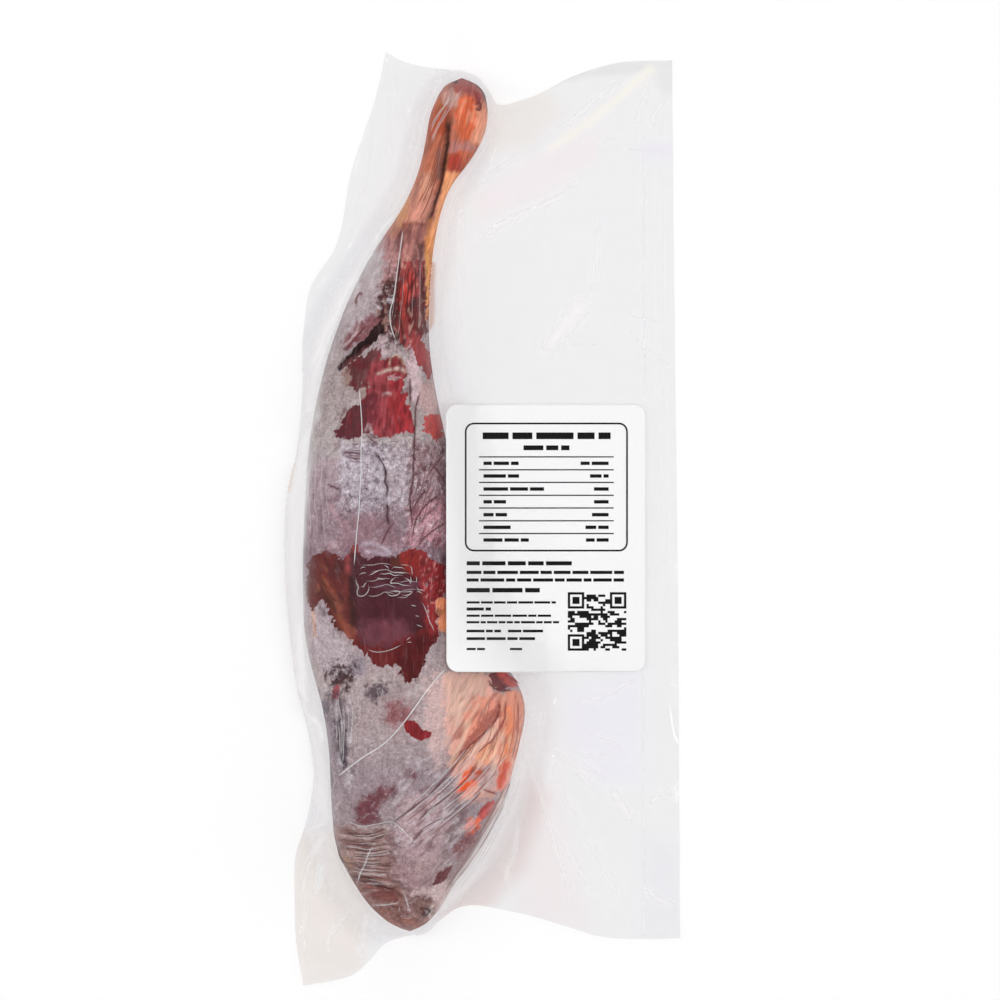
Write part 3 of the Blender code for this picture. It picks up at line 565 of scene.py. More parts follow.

# %% [markdown]
# Fibres, fissures and thin dark creases run along lines. A streak has a width in pixels and fades out at
# its two ends. The deep ones also sink into the surface, and their dark is partly the meat's own and
# partly painted shade in the crease. A few pale ones are painted light, marked where they stand.

# %% Streaks and fissures
STREAKS = (
    # colour, cover, width in pixels, depth in millimetres, line
    ("#280a08", 0.95, 4.0, 0.9, ((449, 116), (447, 135), (446, 150), (443, 168), (441, 183), (438, 193),
     (433, 209), (428, 222))),
    ("#2c1210", 0.9, 3.4, 0.3, ((454, 81), (457, 83))),
    ("#5a2826", 0.85, 3.0, 0.1, ((462, 76), (474, 80), (484, 93), (488, 106))),
    ("#6c2a2a", 0.8, 2.0, 0.2, ((476, 102), (481, 104), (480, 110), (475, 110))),
    ("#8a4a44", 0.7, 3.0, 0.1, ((402, 225), (414, 223), (427, 226))),
    ("#d08a4c", 0.85, 2.6, 0.0, ((431, 217), (428, 236), (426, 256))),
    ("#f4cca4", 0.5, 2.4, 0.0, ((455, 178), (447, 200), (439, 226), (434, 250))),
    ("#e0a258", 0.7, 2.2, 0.0, ((428, 252), (428, 280), (427, 304))),
    ("#5c2622", 0.8, 2.0, 0.4, ((424, 262), (423, 290), (424, 316), (427, 334))),
    ("#4c1d1e", 0.6, 2.4, 0.3, ((400, 256), (398, 290), (400, 318), (404, 340))),
    ("#6a2a2c", 0.85, 2.0, 0.2, ((356, 306), (356, 299), (360, 293), (363, 296))),
    ("#240a0c", 0.9, 4.0, 0.8, ((385, 321), (380, 332), (370, 339), (361, 346), (352, 354), (344, 361),
     (337, 371))),
    ("#6a3034", 0.8, 2.0, 0.2, ((344, 351), (352, 342), (360, 333), (366, 326))),
    ("#d8c2c4", 0.75, 1.8, 0.0, ((343, 347), (350, 340), (359, 330))),
    ("#e4d2c4", 0.8, 2.4, 0.0, ((376, 374), (388, 370), (400, 368), (407, 372))),
    ("#dcc8b0", 0.75, 2.0, 0.0, ((389, 366), (391, 357), (396, 354), (401, 358), (403, 366))),
    ("#e2cbcb", 0.8, 2.0, 0.0, ((382, 395), (387, 393), (392, 394))),
    ("#d8c0c2", 0.75, 2.4, 0.0, ((365, 432), (369, 425), (373, 434))),
    ("#54282f", 0.75, 2.0, 0.4, ((410, 378), (410, 392), (411, 404))),
    ("#54282f", 0.8, 2.0, 0.5, ((420, 392), (416, 406), (415, 430), (414, 450), (413, 478), (410, 500),
     (413, 528))),
    ("#3f1d26", 0.9, 2.4, 0.7, ((375, 452), (380, 459), (384, 466), (386, 474), (385, 482), (388, 488),
     (387, 494), (388, 499))),
    ("#3f1d26", 0.85, 2.2, 0.6, ((386, 501), (388, 510), (387, 518), (389, 525))),
    ("#5a2c36", 0.75, 1.8, 0.3, ((341, 452), (352, 453), (362, 454))),
    ("#5a2c36", 0.7, 1.8, 0.3, ((344, 456), (354, 458), (362, 458))),
    ("#5a2c36", 0.65, 1.6, 0.2, ((351, 445), (360, 444))),
    ("#5a2c36", 0.75, 1.8, 0.3, ((327, 484), (334, 487), (340, 490))),
    ("#5a2c36", 0.7, 1.8, 0.3, ((348, 494), (352, 497))),
    ("#5a2c36", 0.7, 1.8, 0.3, ((364, 487), (369, 490))),
    ("#5f3a4a", 0.75, 1.8, 0.2, ((366, 434), (372, 440), (379, 445))),
    ("#5f3a4a", 0.75, 1.8, 0.2, ((370, 433), (374, 437), (378, 438))),
    ("#54282f", 0.8, 2.0, 0.4, ((427, 488), (418, 500), (411, 514))),
    ("#5a2b31", 0.8, 2.0, 0.4, ((440, 494), (425, 506), (416, 520), (412, 540))),
    ("#5a2b31", 0.75, 1.8, 0.3, ((448, 522), (434, 530), (424, 538), (418, 546))),
    ("#673840", 0.7, 1.8, 0.2, ((430, 462), (440, 474), (446, 486))),
    ("#673840", 0.65, 1.8, 0.2, ((446, 452), (434, 466), (424, 482))),
    ("#c9a6ac", 0.6, 2.6, 0.0, ((446, 470), (430, 490), (418, 510))),
    ("#65353c", 0.6, 1.8, 0.2, ((380, 548), (388, 530), (394, 522))),
    # painted highlight: pale lavender glints of the film above the dark pool
    ("#cbbcc9", 0.7, 3.0, 0.0, ((360, 545), (370, 543), (384, 548), (392, 555))),
    ("#c4b2c0", 0.6, 2.6, 0.0, ((364, 551), (378, 553), (390, 556))),
    ("#b06044", 0.55, 6.0, 0.0, ((320, 576), (327, 590), (335, 608), (343, 625), (352, 640))),
    ("#9c5442", 0.6, 7.0, 0.0, ((330, 590), (337, 602), (341, 612))),
    ("#4a2a20", 0.5, 4.0, 0.1, ((310, 578), (318, 590), (330, 602), (340, 622))),
    ("#2c0d10", 0.8, 4.6, 0.4, ((352, 572), (351, 590), (353, 610), (352, 632))),
    ("#d7a58a", 0.8, 3.0, 0.0, ((313, 610), (314, 622), (315, 638))),
    ("#7a4c60", 0.4, 5.0, 0.0, ((374, 584), (388, 588), (404, 588), (422, 583))),
    ("#4a3a44", 0.7, 4.2, 0.5, ((336, 716), (343, 736), (346, 752), (342, 768))),
    ("#574750", 0.5, 2.4, 0.1, ((352, 700), (350, 722), (346, 745))),
    ("#4b3a41", 0.5, 2.0, 0.1, ((336, 690), (342, 712), (344, 730))),
    ("#793a38", 0.85, 2.0, 0.5, ((500, 700), (498, 716), (486, 732), (470, 746), (456, 764), (448, 776))),
    ("#8c4440", 0.75, 1.8, 0.3, ((506, 700), (504, 720), (492, 740), (476, 754))),
    ("#a4574a", 0.65, 1.8, 0.2, ((518, 700), (518, 730), (512, 760))),
    ("#5c2a2a", 0.85, 2.0, 0.4, ((488, 680), (494, 688), (502, 691), (512, 690))),
    ("#b83c3a", 0.8, 2.0, 0.2, ((503, 674), (512, 678), (520, 684))),
    ("#8a3c40", 0.8, 2.0, 0.2, ((481, 789), (490, 792), (498, 794))),
    ("#f4d2b8", 0.65, 2.4, 0.0, ((494, 726), (478, 746), (460, 768))),
    ("#f2cdb0", 0.6, 2.4, 0.0, ((502, 730), (488, 752), (470, 776))),
    ("#5f3c40", 0.8, 2.0, 0.5, ((447, 776), (429, 796), (411, 809), (391, 824))),
    ("#6a4648", 0.75, 1.9, 0.4, ((466, 780), (446, 798), (430, 809), (418, 821))),
    ("#74545a", 0.65, 1.8, 0.3, ((462, 803), (449, 816), (436, 821), (423, 829), (410, 846))),
    ("#74353a", 0.6, 1.6, 0.0, ((510, 782), (500, 800), (486, 816))),
    ("#5e3e3c", 0.8, 2.0, 0.3, ((346, 832), (359, 835), (368, 834), (375, 833), (386, 828))),
    ("#5e3e3c", 0.75, 2.0, 0.3, ((371, 841), (379, 838), (386, 834))),
    ("#5e3e3c", 0.75, 2.0, 0.3, ((353, 844), (368, 845))),
    ("#5e3e3c", 0.7, 1.8, 0.3, ((352, 848), (360, 850), (369, 852))),
    ("#5e3e3c", 0.75, 2.0, 0.3, ((352, 856), (366, 857), (384, 855))),
    ("#5e3e3c", 0.65, 1.8, 0.3, ((372, 863), (384, 866), (394, 866))),
    ("#4a2422", 0.85, 2.2, 0.4, ((352, 877), (365, 877), (380, 883))),
    ("#4a2422", 0.85, 2.2, 0.4, ((359, 881), (372, 883), (380, 886), (396, 890))),
    ("#c9b6b4", 0.75, 2.0, 0.0, ((352, 828), (365, 828), (380, 826), (388, 825))),
    ("#cbb8b6", 0.7, 2.0, 0.0, ((373, 846), (368, 855), (365, 864), (360, 874), (357, 884))),
    ("#ecd8d0", 0.92, 3.6, 0.0, ((328, 829), (331, 842), (338, 857), (345, 873), (354, 888))),
    ("#5a3a30", 0.8, 2.0, 0.3, ((337, 848), (342, 860), (349, 871), (355, 883))),
    ("#c9b0aa", 0.75, 2.0, 0.0, ((371, 905), (385, 905), (400, 902))),
    ("#c9b0aa", 0.75, 2.0, 0.0, ((403, 890), (407, 902), (409, 912))),
    ("#d6c2bc", 0.8, 2.4, 0.0, ((437, 889), (433, 903), (429, 919))),
    ("#3c2220", 0.75, 2.2, 0.5, ((424, 908), (430, 911), (426, 916))),
    # painted light: a pale band along the steep lower right rim, which faces away from the lights
    ("#ffe6dc", 0.85, 10.0, 0.0, ((522, 750), (514, 780), (502, 806), (486, 842), (466, 876), (446, 906),
     (434, 922))),
    ("#8c6a66", 0.6, 2.0, 0.2, ((506, 786), (494, 808), (478, 838), (460, 868), (444, 892))),
    ("#b98f86", 0.55, 2.0, 0.0, ((516, 776), (504, 804), (488, 836), (470, 868), (452, 898))),
)
STREAK_ENDS, STREAK_START = 0.12, 0.25
STREAK_REACH = 0.62
sink = np.zeros(len(leg_seen))
for code, cover, width, depth, line in STREAKS:
    away, where = line_distance(ragged(1.0), list(line))
    taper = smooth_step(np.minimum(where, 1 - where) / STREAK_ENDS + STREAK_START)
    mask = np.exp(-((away / (STREAK_REACH * width))**2)) * taper
    paint(frosted, cover * mask, code)
    paint(bare, cover * mask, code)
    sink += 0.001 * depth * mask
print(len(STREAKS), "streaks, the deepest", round(1000 * sink.max(), 2), "mm")

# %% [markdown]
# Muscle is made of bundles that run one way, so most patches are finely striped. A striation is a wave
# stretched along a heading: where it rises over a threshold, its colour shows through.

# %% Striations
STRIATIONS = (
    # colour, cover, width in pixels, stretch, heading, threshold, outline
    ("#43211f", 0.7, 5, 3.0, 98, 0.1, ((384, 262), (400, 250), (424, 240), (427, 330), (406, 352),
     (382, 348), (376, 310))),
    ("#c99a8c", 0.55, 4, 2.0, 94, 0.22, ((384, 262), (400, 250), (424, 240), (427, 330), (406, 352),
     (382, 348), (376, 310))),
    ("#6c3a3a", 0.6, 5, 3.5, 102, 0.08, ((396, 226), (426, 220), (426, 250), (422, 268), (396, 270),
     (388, 248))),
    ("#a45c44", 0.45, 4, 5.0, 108, 0.1, ((430, 96), (450, 110), (442, 170), (432, 212), (424, 228),
     (398, 232), (404, 200))),
    ("#f4b494", 0.4, 4, 4.0, 96, 0.15, ((456, 98), (488, 100), (486, 146), (456, 146))),
    ("#dcd2d6", 0.45, 4, 3.0, 112, 0.16, ((364, 247), (386, 248), (380, 290), (356, 332), (340, 336))),
    ("#6c1c26", 0.6, 4, 2.6, 100, 0.06, ((345, 360), (404, 356), (414, 434), (338, 438))),
    ("#c06468", 0.4, 4, 2.6, 96, 0.22, ((372, 360), (404, 356), (414, 434), (372, 434))),
    ("#421c1c", 0.6, 5, 3.0, 58, 0.08, ((306, 556), (352, 552), (366, 640), (350, 642), (310, 606))),
    ("#a05a40", 0.4, 4, 3.0, 58, 0.24, ((306, 556), (340, 570), (366, 640), (350, 644), (320, 604))),
    ("#5d1c20", 0.6, 5, 2.0, 110, 0.08, ((398, 550), (446, 560), (442, 620), (420, 680), (400, 680),
     (400, 650), (424, 630))),
    ("#dc8c88", 0.65, 3, 1.4, 120, 0.26, ((420, 556), (446, 566), (446, 596), (438, 612), (426, 606),
     (422, 580))),
    ("#63323c", 0.6, 4, 3.0, 133, 0.1, ((404, 446), (447, 446), (448, 548), (406, 548))),
    ("#dcc3c8", 0.5, 5, 2.4, 130, 0.16, ((404, 446), (447, 446), (448, 548), (406, 548))),
    ("#634450", 0.5, 3, 3.0, 150, 0.2, ((340, 440), (386, 440), (388, 520), (338, 520))),
    ("#d9d0d8", 0.5, 4, 3.0, 100, 0.16, ((340, 440), (408, 440), (408, 510), (338, 510))),
    ("#6f4e58", 0.5, 6, 3.0, 88, 0.12, ((308, 440), (340, 440), (338, 556), (308, 556))),
    ("#c9a4ac", 0.5, 6, 3.0, 60, 0.18, ((306, 490), (400, 510), (400, 550), (308, 550))),
    ("#4c3c48", 0.65, 4, 6.0, 92, 0.06, ((318, 690), (352, 690), (352, 776), (326, 790))),
    ("#cfc3c7", 0.5, 5, 5.0, 94, 0.15, ((330, 690), (362, 690), (356, 780), (336, 790))),
    ("#944a44", 0.6, 5, 5.0, 123, 0.08, ((452, 700), (500, 690), (506, 740), (484, 800), (448, 800))),
    ("#f6d4bc", 0.5, 5, 5.0, 123, 0.16, ((448, 680), (500, 690), (506, 740), (484, 800), (448, 800))),
    ("#c4513e", 0.5, 4, 6.0, 92, 0.1, ((500, 694), (526, 692), (524, 750), (506, 792), (498, 788))),
    ("#f6ceb4", 0.45, 4, 6.0, 96, 0.16, ((500, 694), (526, 692), (524, 750), (506, 792), (498, 788))),
    ("#6f4b50", 0.5, 5, 3.4, 138, 0.14, ((392, 770), (480, 770), (484, 830), (440, 870), (392, 840))),
    ("#d3c6ca", 0.5, 5, 3.4, 138, 0.18, ((392, 770), (480, 770), (484, 830), (440, 870), (392, 840))),
    ("#6b4a48", 0.55, 4, 5.0, 6, 0.08, ((334, 826), (400, 830), (404, 884), (360, 900), (340, 860))),
    ("#c4aeac", 0.5, 4, 5.0, 4, 0.16, ((334, 826), (400, 830), (404, 884), (360, 900), (340, 860))),
    ("#6a3f3c", 0.5, 4, 3.0, 20, 0.1, ((362, 884), (440, 884), (436, 930), (396, 934))),
)
ZONE_EDGE, STRIPE_EDGE = 9, 0.25
for seed, (code, cover, width, stretch, heading, threshold, outline) in enumerate(STRIATIONS):
    zone = cover * smooth_step(0.5 + outline_depth(ragged(2.0), outline) / ZONE_EDGE)
    near = zone > 0.01
    mask = np.zeros(len(leg_seen))
    wave = waves(leg_seen[near], width, 40 + seed, stretch, heading)
    mask[near] = zone[near] * smooth_step((wave - threshold) / STRIPE_EDGE)
    paint(frosted, mask, code)
    paint(bare, mask, code)
print(len(STRIATIONS), "striations")

# %% [markdown]
# The fibres in the shader follow the muscles too. Each row of the table gives, at one height in the
# picture, how far fibres lean to the right for each pixel down, at the left and at the right of the leg.
# Summed from the top, the lean says how far a fibre has wandered. Across the rump they lie level instead.

# %% Flow of the fibres
LEAN = (
    (70, -0.1, -0.1), (150, -0.3, -0.3), (210, -0.42, -0.42), (260, -0.3, -0.25), (330, -0.1, -0.1),
     (430, 0.0, -0.2),
    (470, 0.0, -0.6), (530, 0.1, -0.8), (570, 0.5, -0.4), (640, 0.5, -0.2), (690, 0.0, -0.5),
     (760, 0.0, -0.6),
    (800, -0.3, -0.9), (860, -0.6, -0.9), (930, -0.4, -0.4),
)
RUMP = ((330, 830), (384, 828), (396, 850), (400, 932), (370, 912), (346, 870))
lean_rows = np.arange(60, 941)
lean_places, *leans = zip(*LEAN)
left_lean, right_lean = (np.cumsum(np.interp(lean_rows, lean_places, lean)) for lean in leans)
rightness = smooth_step((leg_seen[:, 0] - 350) / 110)
wandered = ((1 - rightness) * np.interp(leg_seen[:, 1], lean_rows, left_lean)
            + rightness * np.interp(leg_seen[:, 1], lean_rows, right_lean))
flow = np.stack([leg_seen[:, 1], leg_seen[:, 0] - wandered], axis=1)
level = smooth_step(0.5 + outline_depth(ragged(2.0), RUMP) / 8)[:, None]
flow += level * (leg_seen - flow)
print("fibres wander", round(np.abs(wandered).max()), "pixels")

# %% [markdown]
# Frost is never even. Waves of several sizes make it thicker and thinner here, and the shader adds what
# is finer than the net. Where film clings to wet meat the same waves only darken and lighten it. How
# strong the shader's grain is differs too: faint on the pool of juice and on fat, strong on frost.

# %% Mottling and relief, stored on the net
FROST_TOP, FROST_FADE = 232, 50
FROST_SWING, BARE_SWING = 0.20, 0.22
FROST_RELIEF, WET_RELIEF = 0.00012, 0.00010
frost = np.clip(1 - 0.9 * fat, 0, 1) * smooth_step((leg_seen[:, 1] - FROST_TOP) / FROST_FADE)
mottle = 0.55 * leg_waves[7][0] + 0.45 * leg_waves[18][0] + 0.30 * leg_waves[50][0]
frosted *= (1 + FROST_SWING * mottle * (0.4 + 0.6 * frost))[:, None]
bare *= (1 + BARE_SWING * (0.6 * leg_waves[3][1] + leg_waves[7][1] + 0.8 * leg_waves[18][0]))[:, None]
relief = -sink + FROST_RELIEF * mottle * frost + WET_RELIEF * leg_waves[7][1] * clinging
fade = smooth_step(leg_up * 2 + 0.6)
moves = [vert.normal * float(rise) for vert, rise in zip(leg_bm.verts, relief * fade)]
for vert, move in zip(leg_bm.verts, moves):
    vert.co += move
GRAIN_KEPT = 0.42
GRAIN_PATCHES = (
    # how much of the grain stays, softness in pixels, outline
    (0.38, 14, ((410, 70), (500, 70), (470, 170), (440, 230), (434, 320), (424, 320), (424, 230),
     (396, 226))),
    (0.72, 14, ((384, 242), (428, 238), (428, 346), (376, 350), (376, 300))),
    (0.3, 10, ((346, 300), (370, 246), (386, 250), (384, 276), (364, 316), (346, 326))),
    (0.4, 14, ((296, 330), (338, 330), (338, 552), (296, 552))),
    (0.68, 16, ((338, 440), (412, 440), (412, 514), (338, 514))),
    (0.2, 8, ((358, 558), (412, 558), (424, 574), (428, 640), (404, 648), (366, 644))),
    (0.7, 14, ((412, 440), (450, 440), (450, 548), (400, 548))),
    (0.7, 10, ((424, 550), (448, 560), (446, 640), (424, 640))),
    (0.6, 10, ((320, 656), (360, 656), (360, 776), (330, 776))),
    (0.26, 12, ((446, 672), (530, 672), (524, 760), (500, 804), (456, 800))),
    (0.6, 14, ((334, 826), (400, 826), (404, 900), (436, 900), (430, 934), (380, 920))),
)
contrast = np.full(len(leg_seen), GRAIN_KEPT)
for kept, soft, outline in GRAIN_PATCHES:
    contrast += smooth_step(0.5 + outline_depth(leg_seen, outline) / soft) * (kept - contrast)
stored = {"clinging": clinging, "frost": frost, "contrast": contrast}
value_layers = {name: leg_bm.verts.layers.float.new(name) for name in stored}
frosted_layer = leg_bm.verts.layers.float_color.new("frosted")
bare_layer = leg_bm.verts.layers.float_color.new("bare")
flow_layer = leg_bm.verts.layers.float_vector.new("flow")
for place, vert in enumerate(leg_bm.verts):
    vert[frosted_layer] = (*np.clip(frosted[place], 0.002, 1), 1.0)
    vert[bare_layer] = (*np.clip(bare[place], 0.002, 1), 1.0)
    vert[flow_layer] = (*(PIXEL * flow[place]), vert.co.z)
    for name, layer in value_layers.items():
        vert[layer] = stored[name][place]
print("relief from", round(1000 * relief.min(), 2), "to", round(1000 * relief.max(), 2), "mm")

# %% [markdown]
# The meat's shader starts from two painted layers, the frosted one and the bare one. Film clings to bare
# meat up to a broken edge, so a crystal noise pushes that edge about before one layer gives way to the
# other. What is finer than the net comes from four noises. Bundles of muscle are 2 mm wide and the fibres
# in them under a millimetre, and both follow the stored flow. Frost crystals are a millimetre, and grow
# in flecks of 3 mm. Where a noise is low the paint goes deep and red, and where it is high it goes pale.
# Broken dark needles run along the edges of the frost's own cells.

# %% Meat material: the noises and the broken edge
FIBRE_WIDTH = 0.0009
BUNDLE_WIDTH = 0.0022
CRYSTAL = 0.0011
FLECK = 0.0030
EDGE_REACH = 0.9
meat = new_material("raw frozen mutton")
meat_place = add_node(meat, "ShaderNodeTexCoord")
stored_at = {name: add_node(meat, "ShaderNodeAttribute", {"attribute_name": name})
             for name in ("frosted", "bare", "clinging", "frost", "contrast", "flow")}


def flow_noise(width, stretch, detail, distortion):
    """A noise drawn out along the stored flow, for stripes of a width in metres."""
    squeezed = add_node(meat, "ShaderNodeMapping", sockets={"Scale": (1.0 / stretch, 1.0, 1.0 / stretch)},
                        links={"Vector": stored_at["flow"].outputs["Vector"]})
    return add_node(meat, "ShaderNodeTexNoise",
                    sockets={"Scale": 0.5 / width, "Detail": detail, "Roughness": 0.6,
                             "Distortion": distortion},
                    links={"Vector": squeezed.outputs["Vector"]})


def spot_noise(width, detail, roughness):
    """A noise that is alike in all directions, for spots of a width in metres."""
    return add_node(meat, "ShaderNodeTexNoise",
                    sockets={"Scale": 0.5 / width, "Detail": detail, "Roughness": roughness,
                             "Distortion": 0.6},
                    links={"Vector": meat_place.outputs["Object"]})


def ramp(value, low, high, to_low=0.0, to_high=1.0):
    """Turn a noise into a soft step between two of its values."""
    return add_node(meat, "ShaderNodeMapRange", {"interpolation_type": "SMOOTHSTEP"},
                    {"From Min": low, "From Max": high, "To Min": to_low, "To Max": to_high},
                    {"Value": value}).outputs["Result"]


def blend(share, first, second, kind="FLOAT"):
    """Mix two values or colours by a share."""
    places = {"FLOAT": (2, 3, 0), "RGBA": (6, 7, 2)}[kind]
    return add_node(meat, "ShaderNodeMix", {"data_type": kind},
                    links={0: share, places[0]: first, places[1]: second}).outputs[places[2]]


fibres = flow_noise(FIBRE_WIDTH, 7.0, 3.0, 0.4).outputs["Fac"]
bundles = flow_noise(BUNDLE_WIDTH, 4.0, 4.0, 0.8).outputs["Fac"]
crystals = spot_noise(CRYSTAL, 4.0, 0.75).outputs["Fac"]
flecks = spot_noise(FLECK, 6.0, 0.75).outputs["Fac"]
edge_push = reckon(meat, "MULTIPLY_ADD", flecks, 2 * EDGE_REACH, -EDGE_REACH)
edge_place = reckon(meat, "ADD", stored_at["clinging"].outputs["Fac"], edge_push)
bare_share = ramp(edge_place, 0.40, 0.58)

# %% Meat material: deep and pale paint
DEEP = (0.34, 0.21, 0.28)
PALE = 1.55
GRAIN = (0.50, 1.55)
WHITE_FROST = "#efe7ee"
NEEDLE_CELL = 0.0026
FROST_UNDER_FILM = 0.75
frost_here = stored_at["frost"].outputs["Fac"]
painted = blend(bare_share, stored_at["frosted"].outputs["Color"], stored_at["bare"].outputs["Color"], "RGBA")
crystal_share = reckon(meat, "MULTIPLY_ADD", bare_share, -FROST_UNDER_FILM, frost_here, clamp=True)
coarse = blend(crystal_share, bundles, flecks)
fine = blend(crystal_share, fibres, crystals)
deep = add_node(meat, "ShaderNodeVectorMath", {"operation": "MULTIPLY"},
                {1: DEEP}, {0: painted}).outputs["Vector"]
pale = add_node(meat, "ShaderNodeVectorMath", {"operation": "SCALE"},
                {3: PALE}, {0: painted}).outputs["Vector"]
frosty = add_node(meat, "ShaderNodeMix", {"data_type": "RGBA"}, links={0: crystal_share, 6: pale})
frosty.inputs[7].default_value = colour(WHITE_FROST)
contrast_here = stored_at["contrast"].outputs["Fac"]


def times(first, second):
    """Multiply two values of the meat's nodes."""
    return reckon(meat, "MULTIPLY", first, second)


pale_most = ramp(crystal_share, 0.0, 1.0, 0.34, 0.62)
deepened = blend(times(ramp(coarse, 0.46, 0.34, 0.0, 0.90), contrast_here), painted, deep, "RGBA")
pale_share = times(ramp(coarse, 0.53, 0.64), pale_most)
lightened = blend(times(pale_share, contrast_here), deepened, frosty.outputs[2], "RGBA")
cells = add_node(meat, "ShaderNodeTexVoronoi", {"feature": "DISTANCE_TO_EDGE"}, {"Scale": 1.0 / NEEDLE_CELL},
                 {"Vector": meat_place.outputs["Object"]})
needle = times(ramp(cells.outputs["Distance"], 0.11, 0.03, 0.0, 0.85), ramp(bundles, 0.46, 0.56))
needled = blend(times(times(needle, crystal_share), contrast_here), lightened, deep, "RGBA")
grain_off = reckon(meat, "SUBTRACT", ramp(fine, 0.32, 0.68, *GRAIN), 1.0)
grain = reckon(meat, "ADD", times(grain_off, contrast_here), 1.0)
meat_tint = add_node(meat, "ShaderNodeVectorMath", {"operation": "SCALE"},
                     links={0: needled, 3: grain}).outputs["Vector"]
meat_bump = add_node(meat, "ShaderNodeBump", sockets={"Strength": 0.30, "Distance": 0.0005},
                     links={"Height": fine})
meat_shader = add_node(meat, "ShaderNodeBsdfPrincipled", sockets={"IOR": 1.40, "Specular IOR Level": 0.06},
                       links={"Base Color": meat_tint, "Roughness": ramp(bare_share, 0.0, 1.0, 0.70, 0.45),
                              "Normal": meat_bump.outputs["Normal"]})
surface(meat, meat_shader)

# %% The meat as an object
mutton = make_object("mutton_leg", leg_bm, meat)
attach(mutton, "root")
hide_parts("leg")
mutton_tree = BVHTree.FromObject(mutton, bpy.context.evaluated_depsgraph_get())
print("mutton:", [round(1000 * side) for side in mutton.dimensions], "mm")

# %% [markdown]
# The pouch is two webs of film sealed round their edge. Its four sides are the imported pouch's own, point
# by point in metres. A flat grid is stretched between them, and then each point gets a height: it rests
# on whatever is highest under it, and a few hundred rounds of pulling every point to the mean of its
# neighbours, less a little for the vacuum, let the film bridge hollows and slope down beside the leg.

# %% The pouch's four sides
POUCH_LEFT = (
    (-0.1125, -0.2933), (-0.1172, -0.2680), (-0.1184, -0.2402), (-0.1175, -0.2106), (-0.1118, -0.1930),
    (-0.1062, -0.1615), (-0.1093, -0.1363), (-0.1162, -0.1079), (-0.1213, -0.0701), (-0.1243, -0.0229),
    (-0.1229, 0.0149), (-0.1169, 0.0433), (-0.1137, 0.0748), (-0.1128, 0.1189), (-0.1080, 0.1466),
    (-0.0936, 0.1693), (-0.0828, 0.2184), (-0.0665, 0.2688), (-0.0608, 0.2933),
)
POUCH_RIGHT = ((0.1244, -0.2635), (0.1232, -0.0512), (0.1213, 0.1063), (0.1194, 0.2884))
POUCH_HOCK = (
    (-0.0608, 0.2933), (-0.0520, 0.2887), (-0.0217, 0.2826), (-0.0123, 0.2815), (-0.0030, 0.2776),
    (0.0040, 0.2690), (0.0085, 0.2618), (0.0268, 0.2644), (0.0576, 0.2789), (0.0847, 0.2871),
     (0.1194, 0.2884),
)
POUCH_HIP = (
    (-0.1125, -0.2933), (-0.0942, -0.2906), (-0.0810, -0.2868), (-0.0721, -0.2793), (-0.0600, -0.2668),
    (-0.0480, -0.2628), (-0.0360, -0.2608), (-0.0268, -0.2530), (-0.0173, -0.2459), (0.0205, -0.2478),
    (0.0526, -0.2566), (0.0740, -0.2629), (0.1024, -0.2645), (0.1244, -0.2635),
)


def side_point(points, share):
    """Points along a side by the share of its length, rounded through the given ones."""
    points = np.array(points)
    lengths = np.concatenate(([0.0], np.cumsum(np.linalg.norm(np.diff(points, axis=0), axis=1))))
    knots, slopes = lengths / lengths[-1], np.gradient(points, lengths / lengths[-1], axis=0)
    first = np.clip(np.searchsorted(knots, share, side="right") - 1, 0, len(knots) - 2)
    span = (knots[first + 1] - knots[first])[:, None]
    part = (share - knots[first])[:, None] / span
    ease = part * part * (3 - 2 * part)
    bend = slopes[first] * part * (1 - part)**2 - slopes[first + 1] * part * part * (1 - part)
    return points[first] * (1 - ease) + points[first + 1] * ease + span * bend


def pouch_plan(across, along):
    """Where the web's points lie in X and Y, for shares from the left and from the hip."""
    u, v = across[:, None], along[:, None]
    sides = (1 - u) * side_point(POUCH_LEFT, along) + u * side_point(POUCH_RIGHT, along)
    ends = (1 - v) * side_point(POUCH_HIP, across) + v * side_point(POUCH_HOCK, across)
    corners = [np.array(side[place]) for side, place in ((POUCH_HIP, 0), (POUCH_HIP, -1), (POUCH_HOCK, 0),
                                                         (POUCH_HOCK, -1))]
    low = (1 - u) * corners[0] + u * corners[1]
    high = (1 - u) * corners[2] + u * corners[3]
    return sides + ends - (1 - v) * low - v * high


def web_net(columns, rows):
    """A flat grid with the pouch's outline, and each point's column, row and place."""
    bm = bmesh.new()
    bmesh.ops.create_grid(bm, x_segments=columns, y_segments=rows, size=0.5)
    bm.verts.ensure_lookup_table()
    shares = np.array([vert.co[:2] for vert in bm.verts]) + 0.5
    return bm, np.rint(shares * (columns, rows)).astype(int), pouch_plan(shares[:, 0], shares[:, 1])


# %% Rest the front web on what is under it
FRONT_COLUMNS = 208
FRONT_ROWS = 462
ABOVE_MEAT = 0.00035
LABEL_SOLID = 0.0005
UNDER_LABEL = 0.0003
PULL = 0.000028
ROUNDS = 320
DOWN = Vector((0, 0, -1))


def height_under(tree, x, y, nothing=None):
    """The height of a surface under a place, or else that of its nearest point or a given value."""
    hit = tree.ray_cast(Vector((x, y, 1.0)), DOWN)[0]
    if hit is None and nothing is None:
        hit = tree.find_nearest(Vector((x, y, 0.01)))[0]
    return hit.z if hit else nothing


front_bm, front_cells, front_plan = web_net(FRONT_COLUMNS, FRONT_ROWS)
on_pouch = np.array([height_under(pouch_tree, x, y) for x, y in front_plan])
on_meat = np.array([height_under(mutton_tree, x, y, -1.0) for x, y in front_plan]) + ABOVE_MEAT
label_over = np.array([height_under(label_tree, x, y, 1.0) for x, y in front_plan])
label_over = label_over - LABEL_SOLID - UNDER_LABEL


